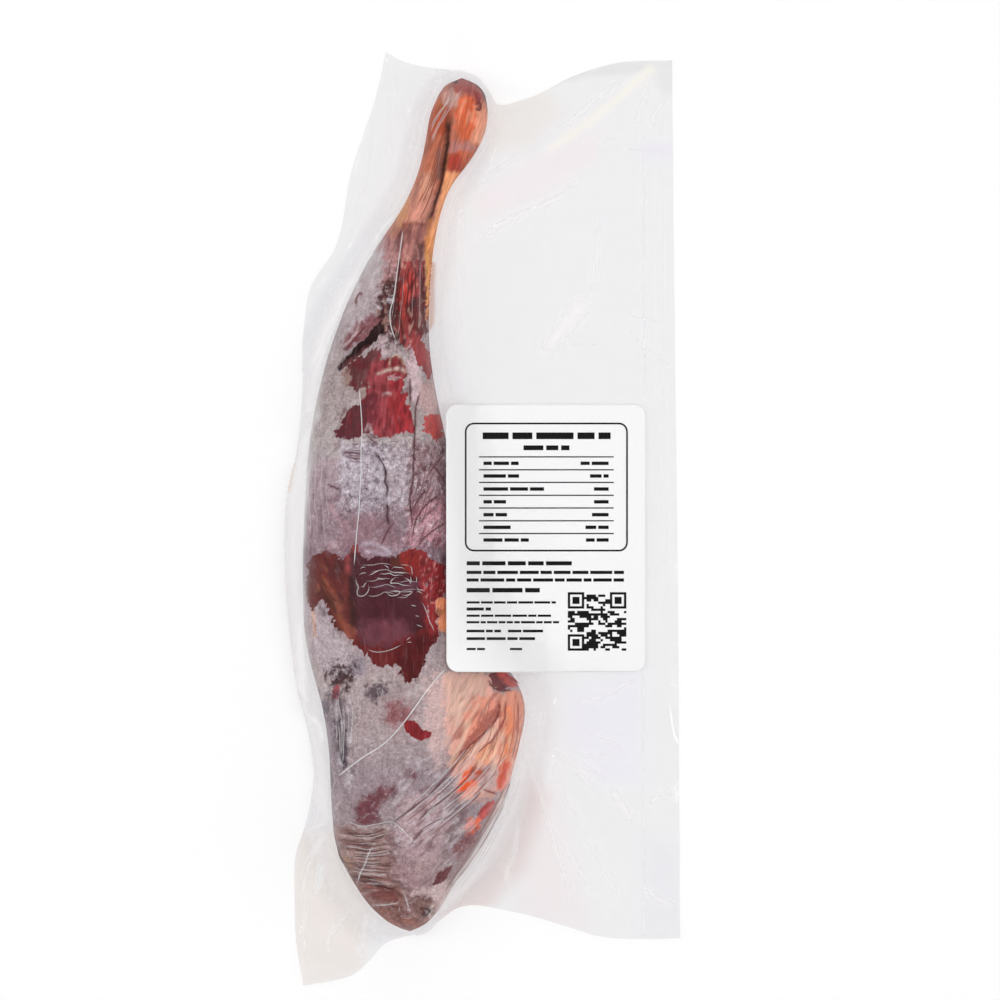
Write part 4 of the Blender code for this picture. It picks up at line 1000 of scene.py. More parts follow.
def to_sheet(values):
    """Lay the points' values out in the columns and rows of the web."""
    sheet = np.zeros((FRONT_COLUMNS + 1, FRONT_ROWS + 1))
    sheet[front_cells[:, 0], front_cells[:, 1]] = values
    return sheet


def from_sheet(sheet):
    """Read the points' values back from the columns and rows."""
    return sheet[front_cells[:, 0], front_cells[:, 1]]


def neighbour_mean(sheet):
    """The mean of the four neighbours of every place that isn't on the edge."""
    return (sheet[:-2, 1:-1] + sheet[2:, 1:-1] + sheet[1:-1, :-2] + sheet[1:-1, 2:]) / 4


resting = to_sheet(np.maximum(on_pouch, on_meat))
sheet = resting.copy()
for _ in range(ROUNDS):
    sheet[1:-1, 1:-1] = np.maximum(resting[1:-1, 1:-1], neighbour_mean(sheet) - PULL)
front_height = from_sheet(sheet)
print("front web:", len(front_plan), "points, up to", round(1000 * front_height.max(), 1), "mm high")

# %% [markdown]
# Vacuum film never lies smooth. Broad folds fan out from where the leg ends, and each is a low ridge
# along a line, with a width and a height. Where film is creased it also turns milky and catches bright
# highlights, so every ridge leaves white in a second layer, which the material reads: partly milky film
# and partly painted highlight. Stray tints of the film are painted on too: painted reflections of the
# meat and painted shade beside the leg.

# %% Folds of the front web
FOLDS = (
    # height against FOLD_RISE, width in millimetres, milkiness with painted highlight, line in seen pixels
    (1.6, 2.6, 0.8, ((470, 193), (500, 168), (527, 150))),
    (1.6, 2.6, 0.8, ((547, 138), (570, 122), (597, 98), (617, 82), (633, 72))),
    (1.4, 2.4, 0.0, ((470, 205), (503, 173), (537, 147), (560, 125))),
    (1.2, 2.6, 0.0, ((470, 222), (510, 210), (547, 193), (570, 183))),
    (1.8, 3.4, 0.95, ((470, 253), (490, 233), (513, 218), (543, 205), (570, 190), (587, 173))),
    (1.0, 2.4, 0.55, ((633, 137), (643, 103), (652, 73))),
    (1.0, 2.4, 0.6, ((650, 133), (655, 113), (667, 93))),
    (1.0, 2.8, 0.65, ((598, 210), (598, 237), (597, 263), (595, 283), (586, 300))),
    # a broad low fold, whose white is mostly a painted highlight
    (1.2, 9.0, 0.95, ((590, 290), (575, 312), (556, 336), (540, 358))),
    (1.2, 2.4, 0.4, ((457, 196), (455, 230), (453, 262), (456, 310), (472, 400))),
    (1.0, 2.4, 0.3, ((462, 190), (462, 226), (460, 258), (466, 300))),
    (0.8, 2.4, 0.2, ((662, 80), (660, 250), (662, 380), (668, 700))),
    (1.2, 2.6, 0.85, ((575, 702), (600, 697), (620, 687), (640, 675))),
    (1.2, 2.4, 0.7, ((527, 711), (545, 726))),
    (1.6, 2.6, 0.85, ((545, 742), (565, 760), (588, 783), (605, 798))),
    (1.2, 2.2, 0.7, ((575, 760), (590, 770), (608, 783))),
    (1.6, 3.2, 1.0, ((610, 785), (617, 800), (625, 812), (632, 826))),
    (1.0, 2.2, 0.6, ((572, 752), (600, 755), (630, 755))),
    (1.0, 2.2, 0.6, ((575, 738), (595, 736), (610, 741), (622, 746), (631, 755))),
    (1.4, 2.6, 0.75, ((524, 738), (528, 755), (538, 785), (548, 820), (558, 855), (568, 890), (575, 925))),
    (1.0, 2.2, 0.6, ((548, 818), (565, 845), (580, 870), (595, 895), (608, 920))),
    (1.2, 2.4, 0.75, ((550, 748), (560, 785), (575, 815), (590, 840), (600, 858), (610, 880), (625, 910),
     (637, 930))),
    (1.4, 3.0, 0.9, ((647, 805), (660, 795), (677, 790))),
    (1.4, 3.0, 0.9, ((642, 882), (652, 895), (665, 902), (679, 907))),
    (1.2, 2.4, 0.8, ((519, 810), (517, 835), (514, 855), (507, 872), (510, 900))),
    (1.0, 2.0, 0.65, ((300, 835), (317, 825), (330, 820))),
    (1.2, 2.2, 0.7, ((327, 832), (310, 855), (302, 865))),
    (1.6, 2.4, 0.85, ((325, 835), (317, 850), (307, 870), (305, 915), (304, 965))),
    (1.0, 4.4, 0.9, ((322, 858), (319, 880), (316, 898))),
    (1.0, 2.0, 0.6, ((332, 880), (331, 895), (330, 910))),
    (1.4, 3.6, 0.9, ((366, 910), (362, 940), (356, 962))),
    (1.0, 2.2, 0.65, ((372, 915), (376, 930), (380, 945))),
    (1.0, 3.4, 0.5, ((351, 907), (340, 922), (330, 935), (327, 960))),
    (1.2, 2.8, 0.85, ((305, 712), (317, 722), (324, 748))),
    (1.2, 4.0, 0.5, ((308, 560), (303, 600), (301, 640), (303, 690), (310, 740))),
    (1.0, 3.0, 0.45, ((318, 440), (308, 480), (303, 520), (302, 560))),
    (1.2, 3.0, 0.8, ((397, 212), (382, 230), (370, 247))),
    (1.2, 2.8, 0.6, ((372, 250), (356, 276), (342, 300), (332, 330), (322, 356), (311, 386))),
    (1.0, 2.6, 0.5, ((338, 308), (326, 330), (318, 352), (308, 372))),
    (1.0, 2.4, 0.6, ((320, 408), (314, 423), (305, 436))),
    (1.0, 2.2, 0.7, ((417, 86), (435, 82), (450, 81))),
    (1.0, 2.2, 0.7, ((432, 67), (445, 70), (455, 74))),
    (1.2, 2.8, 0.3, ((395, 66), (398, 100), (408, 140), (412, 168))),
    (1.0, 2.6, 0.25, ((390, 90), (388, 140), (392, 190))),
    (1.0, 3.0, 0.3, ((372, 110), (366, 170), (356, 220), (338, 262))),
    (1.2, 3.0, 0.25, ((490, 104), (520, 88), (560, 78))),
    (1.0, 2.6, 0.25, ((488, 130), (516, 118), (548, 108))),
)
FILM_TINTS_REFLECTIONS_AND_SHADE = (
    # the colour that the flange shows there (painted reflections of the meat and painted shade beside
    # the leg), softness in pixels, outline
    ("#ece8e4", 24, ((486, 96), (545, 84), (562, 112), (530, 147), (490, 150))),
    ("#e2e2e1", 9, ((500, 86), (590, 64), (676, 58), (676, 72), (592, 76), (504, 98))),
    ("#e6e6e5", 12, ((654, 60), (676, 60), (676, 96), (662, 94))),
    ("#fcf5ec", 9, ((546, 148), (586, 119), (617, 93), (650, 64), (657, 70), (620, 102), (590, 127),
     (552, 155))),
    ("#f3ebed", 18, ((476, 196), (530, 160), (600, 130), (596, 160), (540, 196), (476, 220))),
    ("#ebe9f1", 12, ((638, 145), (676, 143), (676, 160), (638, 158))),
    ("#f0e9ea", 34, ((520, 780), (556, 790), (590, 930), (520, 930))),
    ("#eeedf5", 34, ((570, 690), (640, 672), (642, 780), (600, 784), (570, 740))),
    ("#ebeaee", 30, ((644, 840), (690, 840), (690, 950), (644, 950))),
    ("#eee6e0", 20, ((296, 836), (340, 826), (372, 900), (360, 972), (300, 990), (290, 940))),
    ("#e0d0ce", 26, ((436, 918), (462, 876), (492, 832), (510, 796), (530, 764), (546, 800), (524, 868),
     (480, 918))),
    ("#c8907c", 3, ((428, 262), (435, 262), (435, 322), (429, 332))),
    ("#dfd3d6", 14, ((284, 586), (302, 586), (306, 700), (288, 700))),
    ("#dcae88", 3, ((292, 464), (295, 464), (291, 493), (288, 492))),
)
FLANGE = "#efeff0"
FLANGE_CLEAR = 0.95
FOLD_RISE = 0.00025
FOLD_MILK_AND_HIGHLIGHT = 0.20
FOLD_REACH, FINEST = 0.55, 1.7
FOLD_ENDS = 0.3
SHAKE = 0.8
TINT_SHARE = 0.55
front_seen = np.stack(to_seen(front_plan[:, 0], front_plan[:, 1], front_height), axis=1)
front_waves = {size: waves(front_seen, size, size + 2) for size in (9, 22, 60)}
off_meat = on_meat < 0
off_label = label_over > 0.5
lift, milk_and_painted_light = np.zeros(len(front_plan)), np.zeros(len(front_plan))
shaken = front_seen + SHAKE * np.stack([front_waves[22], front_waves[9]], axis=1)
# A fold's white is partly milky crease and partly painted highlight.
for height, width, milk_and_light_share, line in FOLDS:
    line = side_point(line, np.linspace(0, 1, 4 * len(line)))
    away, where = line_distance(shaken, line)
    taper = smooth_step(np.minimum(where, 1 - where) / FOLD_ENDS)
    ridge = np.exp(-((away * PIXEL * 1000 / max(FOLD_REACH * width, FINEST))**2)) * taper
    lift += FOLD_RISE * height * ridge
    milk_and_painted_light += min(1.0, FOLD_MILK_AND_HIGHLIGHT * width) * milk_and_light_share * ridge
print(len(FOLDS), "folds")

# %% [markdown]
# Beside the leg the film hangs free between the meat and the table and looks milky, most of all along
# the thigh and under the rump. That milk is also painted light: it lightens the film where the leg's
# shade falls beside it, and the meat's steep lower right rim. On the meat itself it is drawn into fine
# pleats, in families that run the same way: these are ridges as well, only lower and closer.

# %% Milky skirts with painted light, and families of pleats
SKIRT_MILK_AND_LIGHT = (
    # milkiness with painted light, softness, outline
    (0.45, 10, ((300, 440), (312, 430), (308, 500), (303, 560), (300, 620), (307, 700), (296, 690),
     (288, 600), (288, 500))),
    (0.15, 16, ((452, 900), (470, 870), (492, 836), (510, 800), (526, 740), (536, 760), (528, 820),
     (508, 880), (470, 912))),
    # painted light along the meat's steep lower right rim
    (0.22, 7, ((520, 760), (528, 766), (514, 812), (484, 868), (448, 914), (438, 906), (466, 862),
     (496, 812))),
    (0.35, 10, ((296, 700), (316, 720), (326, 780), (330, 820), (312, 800), (302, 760))),
    (0.3, 10, ((326, 340), (350, 300), (384, 240), (376, 236), (338, 290), (314, 340), (306, 410),
     (318, 420))),
)
PLEATS = (
    # height against PLEAT_RISE, spacing in pixels, angle of the pleats, zone outline
    (0.3, 7.0, 8, ((330, 822), (400, 822), (404, 872), (352, 882), (338, 856))),
    (0.22, 8.0, 128, ((396, 776), (470, 770), (478, 830), (440, 862), (400, 836))),
    (0.22, 6.0, 6, ((356, 560), (420, 560), (424, 606), (360, 606))),
    (0.14, 9.0, 86, ((334, 690), (360, 690), (352, 780), (332, 780))),
    (0.16, 8.0, 50, ((448, 690), (500, 690), (506, 760), (450, 780))),
    (0.12, 10.0, 95, ((350, 260), (400, 240), (430, 340), (400, 380), (350, 330))),
    (0.1, 10.0, 90, ((420, 100), (480, 100), (440, 230), (400, 230))),
)
PLEAT_RISE = 0.0008
RIPPLE_BESIDE, RIPPLE_ON_MEAT = 0.00022, 0.00004
SWELL_BESIDE = 0.0006
SEALED_EDGE = 0.02
# The skirts' milk is also painted light over the leg's shade.
for milk_and_light_share, soft, outline in SKIRT_MILK_AND_LIGHT:
    milk_and_painted_light += milk_and_light_share * smooth_step(0.5 + outline_depth(shaken, outline) / soft)
for height, spacing, angle, outline in PLEATS:
    mask = smooth_step(0.5 + outline_depth(shaken, outline) / 10)
    turn = math.radians(angle + 90)
    run = front_seen[:, 0] * math.cos(turn) - front_seen[:, 1] * math.sin(turn)
    swell = np.clip(0.5 + 1.2 * front_waves[22], 0, 1)
    ripple = 0.5 + 0.5 * np.sin(2 * math.pi * (run / spacing + 1.3 * front_waves[60]))
    lift += PLEAT_RISE * height * mask * swell * ripple
lift += np.where(off_meat, RIPPLE_BESIDE, RIPPLE_ON_MEAT) * (front_waves[22] + 0.6 * front_waves[9])
lift += np.where(off_meat, SWELL_BESIDE, 0.0) * (0.5 + 0.5 * front_waves[60])
column_share = front_cells[:, 0] / FRONT_COLUMNS
row_share = front_cells[:, 1] / FRONT_ROWS
edge_share = np.minimum.reduce([column_share, 1 - column_share, row_share, 1 - row_share])
lift *= smooth_step(edge_share / SEALED_EDGE)
front_height = np.maximum(front_height + lift, np.maximum(on_pouch * 0.999, on_meat))
front_height = np.where(off_label, front_height, np.minimum(front_height, label_over))
milk_and_painted_light = np.clip(milk_and_painted_light * np.where(off_label, 1, 0), 0, 1)
print("film lifted by", round(1000 * lift.max(), 2), "mm at most")

# %% [markdown]
# Film that hangs free and high is made milky all over, which also paints light over the leg's shade
# beside it, and that begins softly at the edge of the meat. How much light the film lets through is the
# same nearly everywhere: a little less on the flange, where it lies on the other web, less again where
# it is steep, as painted shade on the sides of folds, and tinted where the table of tints says so, with
# painted reflections of the meat and painted shade beside the leg.

# %% Hanging film and the colour let through
POUCH_WIDE, POUCH_LONG = 0.24, 0.586
HANGING = 0.012
HANGING_MILK_AND_LIGHT = 0.34
EDGE_ROUNDS = 8
CLEAR = np.array((0.992, 0.991, 0.995))
STEEP_SHADE = (0.05, 0.05, 0.04)
slopes = np.gradient(to_sheet(front_height), POUCH_WIDE / FRONT_COLUMNS, POUCH_LONG / FRONT_ROWS)
slope = from_sheet(np.hypot(*slopes))
beside = to_sheet(off_meat.astype(float))
for _ in range(EDGE_ROUNDS):
    beside[1:-1, 1:-1] = neighbour_mean(beside)
# Painted light: milk on high hanging film lightens the leg's shade beside it.
hanging_milk_and_light = HANGING_MILK_AND_LIGHT * from_sheet(np.clip(2 * beside - 1, 0, 1)) * smooth_step(front_height / HANGING)
milk_and_painted_light = np.where(off_label, np.clip(milk_and_painted_light + hanging_milk_and_light, 0, 1), milk_and_painted_light)
through = CLEAR * np.where(off_meat, FLANGE_CLEAR, 1.0)[:, None]
# Tints of the film: painted reflections of the meat and painted shade beside the leg.
for code, soft, outline in FILM_TINTS_REFLECTIONS_AND_SHADE:
    mask = smooth_step(0.5 + outline_depth(shaken, outline) / soft)[:, None] * off_meat[:, None]
    share = FLANGE_CLEAR * (light(code) / light(FLANGE))**TINT_SHARE
    through += mask * (CLEAR * np.minimum(1, share) - through)
# Painted shade: steep film lets less through, darkening the sides of folds.
through *= 1 - np.where(off_meat, np.clip(slope, 0, 1), 0)[:, None] * STEEP_SHADE
print("the film lets through from", round(float(through.min()), 2), "to", round(float(through.max()), 2))

# %% Front and back web as bmeshes
def film_layers(bm):
    """Layers the film reads: milk and painted light, colour let through with painted shade, lying on meat."""
    return (bm.verts.layers.float.new("milk_and_painted_light"), bm.verts.layers.float_color.new("through"),
            bm.verts.layers.float.new("drawn_on"))


milk_and_light_layer, through_layer, drawn_layer = film_layers(front_bm)
for place, (vert, (x, y)) in enumerate(zip(front_bm.verts, front_plan)):
    vert.co = (x, y, front_height[place])
    vert[milk_and_light_layer] = milk_and_painted_light[place]
    vert[through_layer] = (*through[place], 1.0)
    vert[drawn_layer] = 0.0 if off_meat[place] else 1.0
front_bm.normal_update()

BACK_COLUMNS = 70
BACK_ROWS = 160
back_bm, _, back_plan = web_net(BACK_COLUMNS, BACK_ROWS)
milk_and_light_layer, through_layer, drawn_layer = film_layers(back_bm)
for vert, (x, y) in zip(back_bm.verts, back_plan):
    hit = pouch_tree.ray_cast(Vector((x, y, -1.0)), -DOWN)[0]
    vert.co = (x, y, (hit.z if hit else 0.0) + 0.0001)
    vert[through_layer] = (*CLEAR, 1.0)
bmesh.ops.reverse_faces(back_bm, faces=back_bm.faces)
back_bm.normal_update()
print("front web", len(front_bm.faces) * 2, "triangles, back web", len(back_bm.faces) * 2)

# %% [markdown]
# Pouch film is polyamide and polyethylene, about a tenth of a millimetre thick, cast and clear. It lets
# nearly all light through, mirrors a little at both of its faces, and looks milky where it is creased.
# So the shader is see-through, with some white where the milky layer says so, which is partly painted
# highlight and painted light, and a mirror over it: a thirtieth of the light head on and more at a slant.
# The slant is taken alike from both sides of the film, because a Fresnel node would shut in the light
# that comes back up from the table. A second layer holds the colour that is let through, a little less
# where the film is steep and light has further to go in it, which also paints shade on the sides of
# folds, and painted reflections of the meat and painted shade beside the leg. On the meat the film takes
# on its grain, so there the mirror is rougher.

# %% Film material
CRINKLE = 0.004
MIRROR_HEAD_ON, MIRROR_SLANTED = 0.03, 0.50
film = new_material("clear vacuum film")
film_place = add_node(film, "ShaderNodeTexCoord")
crinkle = add_node(film, "ShaderNodeTexNoise",
                   sockets={"Scale": 0.5 / CRINKLE, "Detail": 3.0, "Distortion": 1.2},
                   links={"Vector": film_place.outputs["Object"]})
film_bump = add_node(film, "ShaderNodeBump", sockets={"Strength": 0.25, "Distance": 0.0005},
                     links={"Height": crinkle.outputs["Fac"]})
milk_and_light_at = add_node(film, "ShaderNodeAttribute", {"attribute_name": "milk_and_painted_light"})
through_at = add_node(film, "ShaderNodeAttribute", {"attribute_name": "through"})
drawn_at = add_node(film, "ShaderNodeAttribute", {"attribute_name": "drawn_on"})
clear = add_node(film, "ShaderNodeBsdfTransparent", links={"Color": through_at.outputs["Color"]})
white = add_node(film, "ShaderNodeBsdfDiffuse", sockets={"Color": colour("#fcfafb")})
# White by the milky layer: partly creased film, partly painted highlight and painted light.
milk_and_light_mix = add_node(film, "ShaderNodeMixShader", links={0: milk_and_light_at.outputs["Fac"], 1: clear.outputs["BSDF"],
                                                      2: white.outputs["BSDF"]})
film_rough = add_node(film, "ShaderNodeMapRange", sockets={"To Min": 0.10, "To Max": 0.38},
                      links={"Value": drawn_at.outputs["Fac"]})
mirror = add_node(film, "ShaderNodeBsdfAnisotropic", sockets={"Color": (1, 1, 1, 1)},
                  links={"Roughness": film_rough.outputs["Result"], "Normal": film_bump.outputs["Normal"]})
facing = add_node(film, "ShaderNodeLayerWeight", sockets={"Blend": 0.5},
                  links={"Normal": film_bump.outputs["Normal"]})
grazing = reckon(film, "POWER", facing.outputs["Facing"], 5.0)
mirrored = reckon(film, "MULTIPLY_ADD", grazing, MIRROR_SLANTED, MIRROR_HEAD_ON)
film_shader = add_node(film, "ShaderNodeMixShader",
                       links={0: mirrored, 1: milk_and_light_mix.outputs["Shader"], 2: mirror.outputs["BSDF"]})
surface(film, film_shader)

front_web = make_object("film_front", front_bm, film)
back_web = make_object("film_back", back_bm, film)
for web in (front_web, back_web):
    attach(web, "root")
    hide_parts("pouch")
front_tree = BVHTree.FromObject(front_web, bpy.context.evaluated_depsgraph_get())

# %% [markdown]
# Where film is pinched it stands up in a sharp pleat a millimetre wide, finer than the web's own net. Each
# is a narrow ridge laid along a line on the web, and runs out to nothing at its two ends. Its white is
# partly milky film and partly painted highlight. The wrinkles over the dark pool of juice are such pleats
# too, and their white is painted glints. Further families of them run side by side.

# %% Pinched pleats
PINCHES = (
    # width in millimetres, milkiness with painted highlight, line
    (0.9, 0.7, ((403, 229), (401, 244), (398, 266), (393, 300), (390, 313), (391, 326), (396, 341))),
    (0.8, 0.75, ((359, 387), (361, 410), (362, 430), (361, 452), (361, 470), (360, 490), (359, 510),
     (357, 530), (354, 566))),
    (1.0, 0.75, ((447, 667), (432, 684), (416, 706), (401, 726), (386, 742), (362, 758), (337, 777))),
    (1.0, 0.55, ((373, 846), (368, 855), (365, 864), (360, 874), (357, 884))),
    (0.9, 0.35, ((430, 128), (438, 114), (446, 104), (455, 94))),
    (0.9, 0.45, ((418, 846), (402, 830), (392, 822), (378, 824), (360, 826), (346, 820))),
    (0.7, 0.45, ((366, 649), (376, 652), (390, 650), (403, 644))),
    (0.9, 0.45, ((403, 891), (407, 902), (409, 912))),
    (0.9, 0.45, ((372, 905), (385, 905), (400, 902))),
    (0.9, 0.55, ((522, 692), (525, 706), (524, 726), (518, 752))),
    (1.4, 0.8, ((627, 313), (642, 318), (660, 322))),
    (1.4, 0.8, ((627, 330), (645, 348), (670, 367))),
    (1.3, 0.8, ((603, 143), (610, 140), (617, 137))),
    (1.3, 0.8, ((623, 147), (630, 149), (637, 150))),
    (1.4, 0.8, ((570, 345), (584, 345), (597, 345))),
    (1.2, 0.7, ((643.7, 674), (643.7, 760), (643.8, 850), (643.8, 938))),
    (1.0, 0.45, ((644, 130), (644, 260), (645, 400))),
)
WRINKLES = (
    ((360, 569), (363, 567), (366, 567.5)), ((359, 575), (363, 573), (367, 573)),
    ((368, 575.5), (373, 573.5), (376.5, 571.5), (381, 569.5)), ((384, 565), (388, 567.5), (389, 569.5)),
    ((391, 569), (394.6, 567), (398.6, 567.5), (403, 568), (405, 569.5)),
    ((393, 572), (398.6, 572.5), (404, 573), (406, 572)),
    ((378, 575.5), (380.5, 574), (385, 574), (390, 573.5), (394.6, 575.5), (398.6, 575), (404, 575.5)),
    ((376, 581), (378, 578), (381, 579), (385, 579.5)),
    ((398.6, 577.5), (394.6, 578), (392, 580), (390.5, 583), (395, 583), (398.6, 583.5), (402.6, 585),
     (408, 585.5), (412, 586)),
    ((404, 577.5), (408, 579.5), (410, 581.5), (410, 585)), ((410.6, 576), (411, 580), (411, 584)),
    ((416, 576), (416.7, 580), (416, 583)), ((409, 565.5), (411, 567), (412, 571.5), (412.6, 575.5)),
    ((384.5, 591.6), (388, 593.6), (389, 595), (394.6, 595.6), (398.6, 594), (400, 592), (397, 591),
     (392, 591), (388, 592)),
    ((400.6, 593), (403, 595), (407, 595), (410.6, 593.6), (412, 592), (405, 592), (401, 592.6)),
    ((416.7, 586), (418, 589.6), (422, 590), (425, 591.6)), ((416, 592), (418.7, 591.6), (422.7, 594)),
    ((356, 577.5), (356.4, 583), (358.4, 587), (357, 592), (358.4, 595.6), (363, 596), (367, 593),
     (369, 588), (368.4, 584)),
    ((360.4, 586), (363, 587), (365, 584), (367, 581.5)), ((410.6, 605), (416.7, 606.3)), ((415.3, 615.7),
     (419.3, 616.4)),
    ((416, 624.4), (422.7, 627)), ((406.6, 640.5), (409, 638), (411, 637)), ((407, 642.5), (412, 642)),
    ((422, 601.6), (425.4, 609), (429.4, 620.4), (435.4, 633)),
)
# The wrinkles' white stands for painted glints of the film.
WRINKLED = (0.7, 0.55)
PLEAT_FAMILIES = (
    # how many pleats, width in millimetres, milkiness with painted highlight, first line, last line
    (12, 0.9, 0.34, ((334, 828), (350, 831), (368, 832), (390, 825)), ((349, 882), (366, 885), (382, 887),
     (398, 886))),
    (8, 1.2, 0.34, ((494, 704), (470, 742), (436, 780), (398, 814)), ((512, 760), (480, 796), (448, 822),
     (410, 850))),
    (6, 1.0, 0.34, ((326, 690), (332, 716), (336, 744), (338, 772)), ((352, 690), (354, 716), (350, 746),
     (344, 776))),
    (4, 0.7, 0.22, ((398, 250), (394, 280), (390, 310), (384, 344)), ((424, 244), (424, 280), (424, 312),
     (422, 346))),
    (3, 1.0, 0.3, ((454, 88), (442, 108), (430, 132), (424, 150)), ((466, 84), (454, 104), (440, 126),
     (432, 146))),
    (7, 1.2, 0.5, ((512, 778), (496, 812), (474, 850), (444, 894)), ((528, 756), (514, 800), (488, 852),
     (452, 904))),
    (4, 0.8, 0.24, ((306, 450), (304, 490), (306, 530), (306, 560)), ((334, 446), (330, 484), (334, 524),
     (336, 546))),
    (5, 0.8, 0.3, ((358, 562), (370, 563), (384, 561), (398, 565)), ((360, 594), (374, 598), (388, 594),
     (402, 600))),
    (5, 0.8, 0.3, ((386, 564), (398, 561), (410, 564), (422, 568)), ((386, 598), (400, 602), (412, 598),
     (424, 596))),
)
PINCH_STEP = 1.2
PLEAT_SHARE = 0.4
PLEAT_RISES = (0.0002, 0.00005)
SIDE_MILK_AND_HIGHLIGHT = 0.6


def family(count, first, last, seed):
    """Lines that run side by side between a first and a last one, each of its own length."""
    draw = random.Random(seed)
    for place in range(count):
        between = (place + draw.uniform(0.2, 0.8)) / count
        run = np.linspace(draw.uniform(0.0, 0.4), draw.uniform(0.6, 1.0), 6)
        line = (1 - between) * side_point(first, run) + between * side_point(last, run)
        yield line + np.array([[draw.uniform(-0.6, 0.6), draw.uniform(-0.6, 0.6)] for _ in run])


def even_steps(line, step):
    """Points along a line at even steps, in pixels."""
    length = np.linalg.norm(np.diff(np.array(line), axis=0), axis=1).sum()
    return side_point(line, np.linspace(0, 1, max(5, int(length / step))))


def lay_on(tree, px, py, rise):
    """The point in metres that is seen at a pixel and lies a little above a surface."""
    height = 0.0
    for _ in range(3):
        x, y = to_table(px, py, height)
        height = height_under(tree, x, y, height)
    return Vector((x, y, height + rise))


def ribbon(bm, tree, line, half_width, rises):
    """A narrow strip laid along a line on a surface, thinner at both ends.

    Each of its points comes back with whether it is on the middle line, its share of the full height there
    and the pixel it was laid at.
    """
    middle = even_steps(line, PINCH_STEP)
    heading = np.gradient(middle, axis=0)
    heading /= np.linalg.norm(heading, axis=1)[:, None]
    ends = np.minimum(np.arange(len(middle)), np.arange(len(middle))[::-1]) / min(6, 0.3 * len(middle))
    half = half_width / (1000 * PIXEL) * np.clip(ends, 0.12, 1)
    before = set(bm.verts)
    bmesh.ops.create_grid(bm, x_segments=2, y_segments=len(middle) - 1, size=0.5)
    laid = []
    for vert in set(bm.verts) - before:
        side, step = round(vert.co.x * 2), round((vert.co.y + 0.5) * (len(middle) - 1))
        px = middle[step][0] - side * heading[step][1] * half[step]
        py = middle[step][1] + side * heading[step][0] * half[step]
        vert.co = lay_on(tree, px, py, rises[abs(side)] * min(1.0, ends[step] + 0.1))
        laid.append((vert, side == 0, min(1.0, ends[step] + 0.3), (px, py)))
    return laid


pinch_bm = bmesh.new()
milk_and_light_layer, through_layer, drawn_layer = film_layers(pinch_bm)
ribbons = [*PINCHES, *((*WRINKLED, line) for line in WRINKLES)]
for number, (count, width, milk_and_light_share, first, last) in enumerate(PLEAT_FAMILIES):
    ribbons += [(width, milk_and_light_share, line) for line in family(count, first, last, number)]
# A ribbon's white is partly milky film and partly painted highlight.
for width, milk_and_light_share, line in ribbons:
    for vert, on_crest, share, _ in ribbon(pinch_bm, front_tree, line, PLEAT_SHARE * width, PLEAT_RISES):
        vert[milk_and_light_layer] = milk_and_light_share * (share if on_crest else SIDE_MILK_AND_HIGHLIGHT)
        vert[through_layer] = (*CLEAR, 1.0)
bmesh.ops.recalc_face_normals(pinch_bm, faces=pinch_bm.faces)
pinched = make_object("film_pleats", pinch_bm, film)
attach(pinched, "root")
print(len(ribbons), "pinched pleats")

# %% [markdown]
# Dark creases in the meat are as thin as the pleats. The narrow streaks that sink into the surface get a
# strip of dark colour along their bottom, partly darker meat and partly painted shade in the crease,
# laid on the meat under the film. More of them run in families; on the rump their dark is mostly painted
# shade under the film's pleats. At its two sides a strip has the colour of the meat around it.

# %% Dark creases
CREASE_FROM = 0.2
WIDEST_CREASE = 3.0
CREASE_SHARE = 0.50
CREASE_RISES = (0.00008, 0.00004)
CREASE_FAMILIES = (
    # colour, how many, width in pixels, first line, last line
    ("#6a4644", 11, 2.0, ((335, 830), (350, 833), (368, 834), (390, 828)), ((350, 880), (366, 883),
     (382, 886), (398, 889))),
    ("#80504a", 5, 1.7, ((496, 706), (472, 742), (438, 780), (394, 818)), ((504, 770), (476, 800),
     (446, 826), (408, 852))),
    ("#b06a58", 6, 1.5, ((484, 696), (478, 716), (470, 740), (456, 768)), ((517, 700), (517, 736),
     (509, 770), (498, 796))),
    ("#6c5a64", 2, 1.4, ((331, 692), (333, 718), (337, 744), (341, 766)), ((350, 690), (352, 716),
     (349, 744), (344, 772))),
    ("#5a2426", 7, 2.0, ((398, 252), (394, 282), (390, 312), (382, 342)), ((422, 250), (423, 280),
     (424, 312), (422, 344))),
    ("#7a525a", 5, 1.6, ((414, 446), (412, 474), (408, 500), (412, 530)), ((444, 470), (434, 496),
     (426, 516), (420, 544))),
    ("#5d3440", 7, 1.6, ((342, 448), (352, 449), (362, 449), (372, 448)), ((344, 462), (352, 462),
     (362, 463), (372, 462))),
    ("#8a6468", 5, 1.8, ((512, 774), (496, 806), (474, 844), (446, 888)), ((519, 764), (506, 802),
     (483, 845), (450, 892))),
    ("#8a4e40", 4, 1.5, ((440, 130), (434, 160), (424, 190), (408, 218)), ((448, 132), (440, 166),
     (432, 196), (420, 224))),
)
painted_places = KDTree(len(leg_seen))
for place, seen in enumerate(leg_seen):
    if leg_up[place] > 0:
        painted_places.insert((*seen, 0), place)
painted_places.balance()
crease_bm = bmesh.new()
crease_layer = crease_bm.verts.layers.float_color.new("crease")
creases = [(code, width, line) for code, _, width, depth, line in STREAKS
           if depth >= CREASE_FROM and width <= WIDEST_CREASE]
for number, (code, count, width, first, last) in enumerate(CREASE_FAMILIES):
    creases += [(code, width, line) for line in family(count, first, last, 50 + number)]
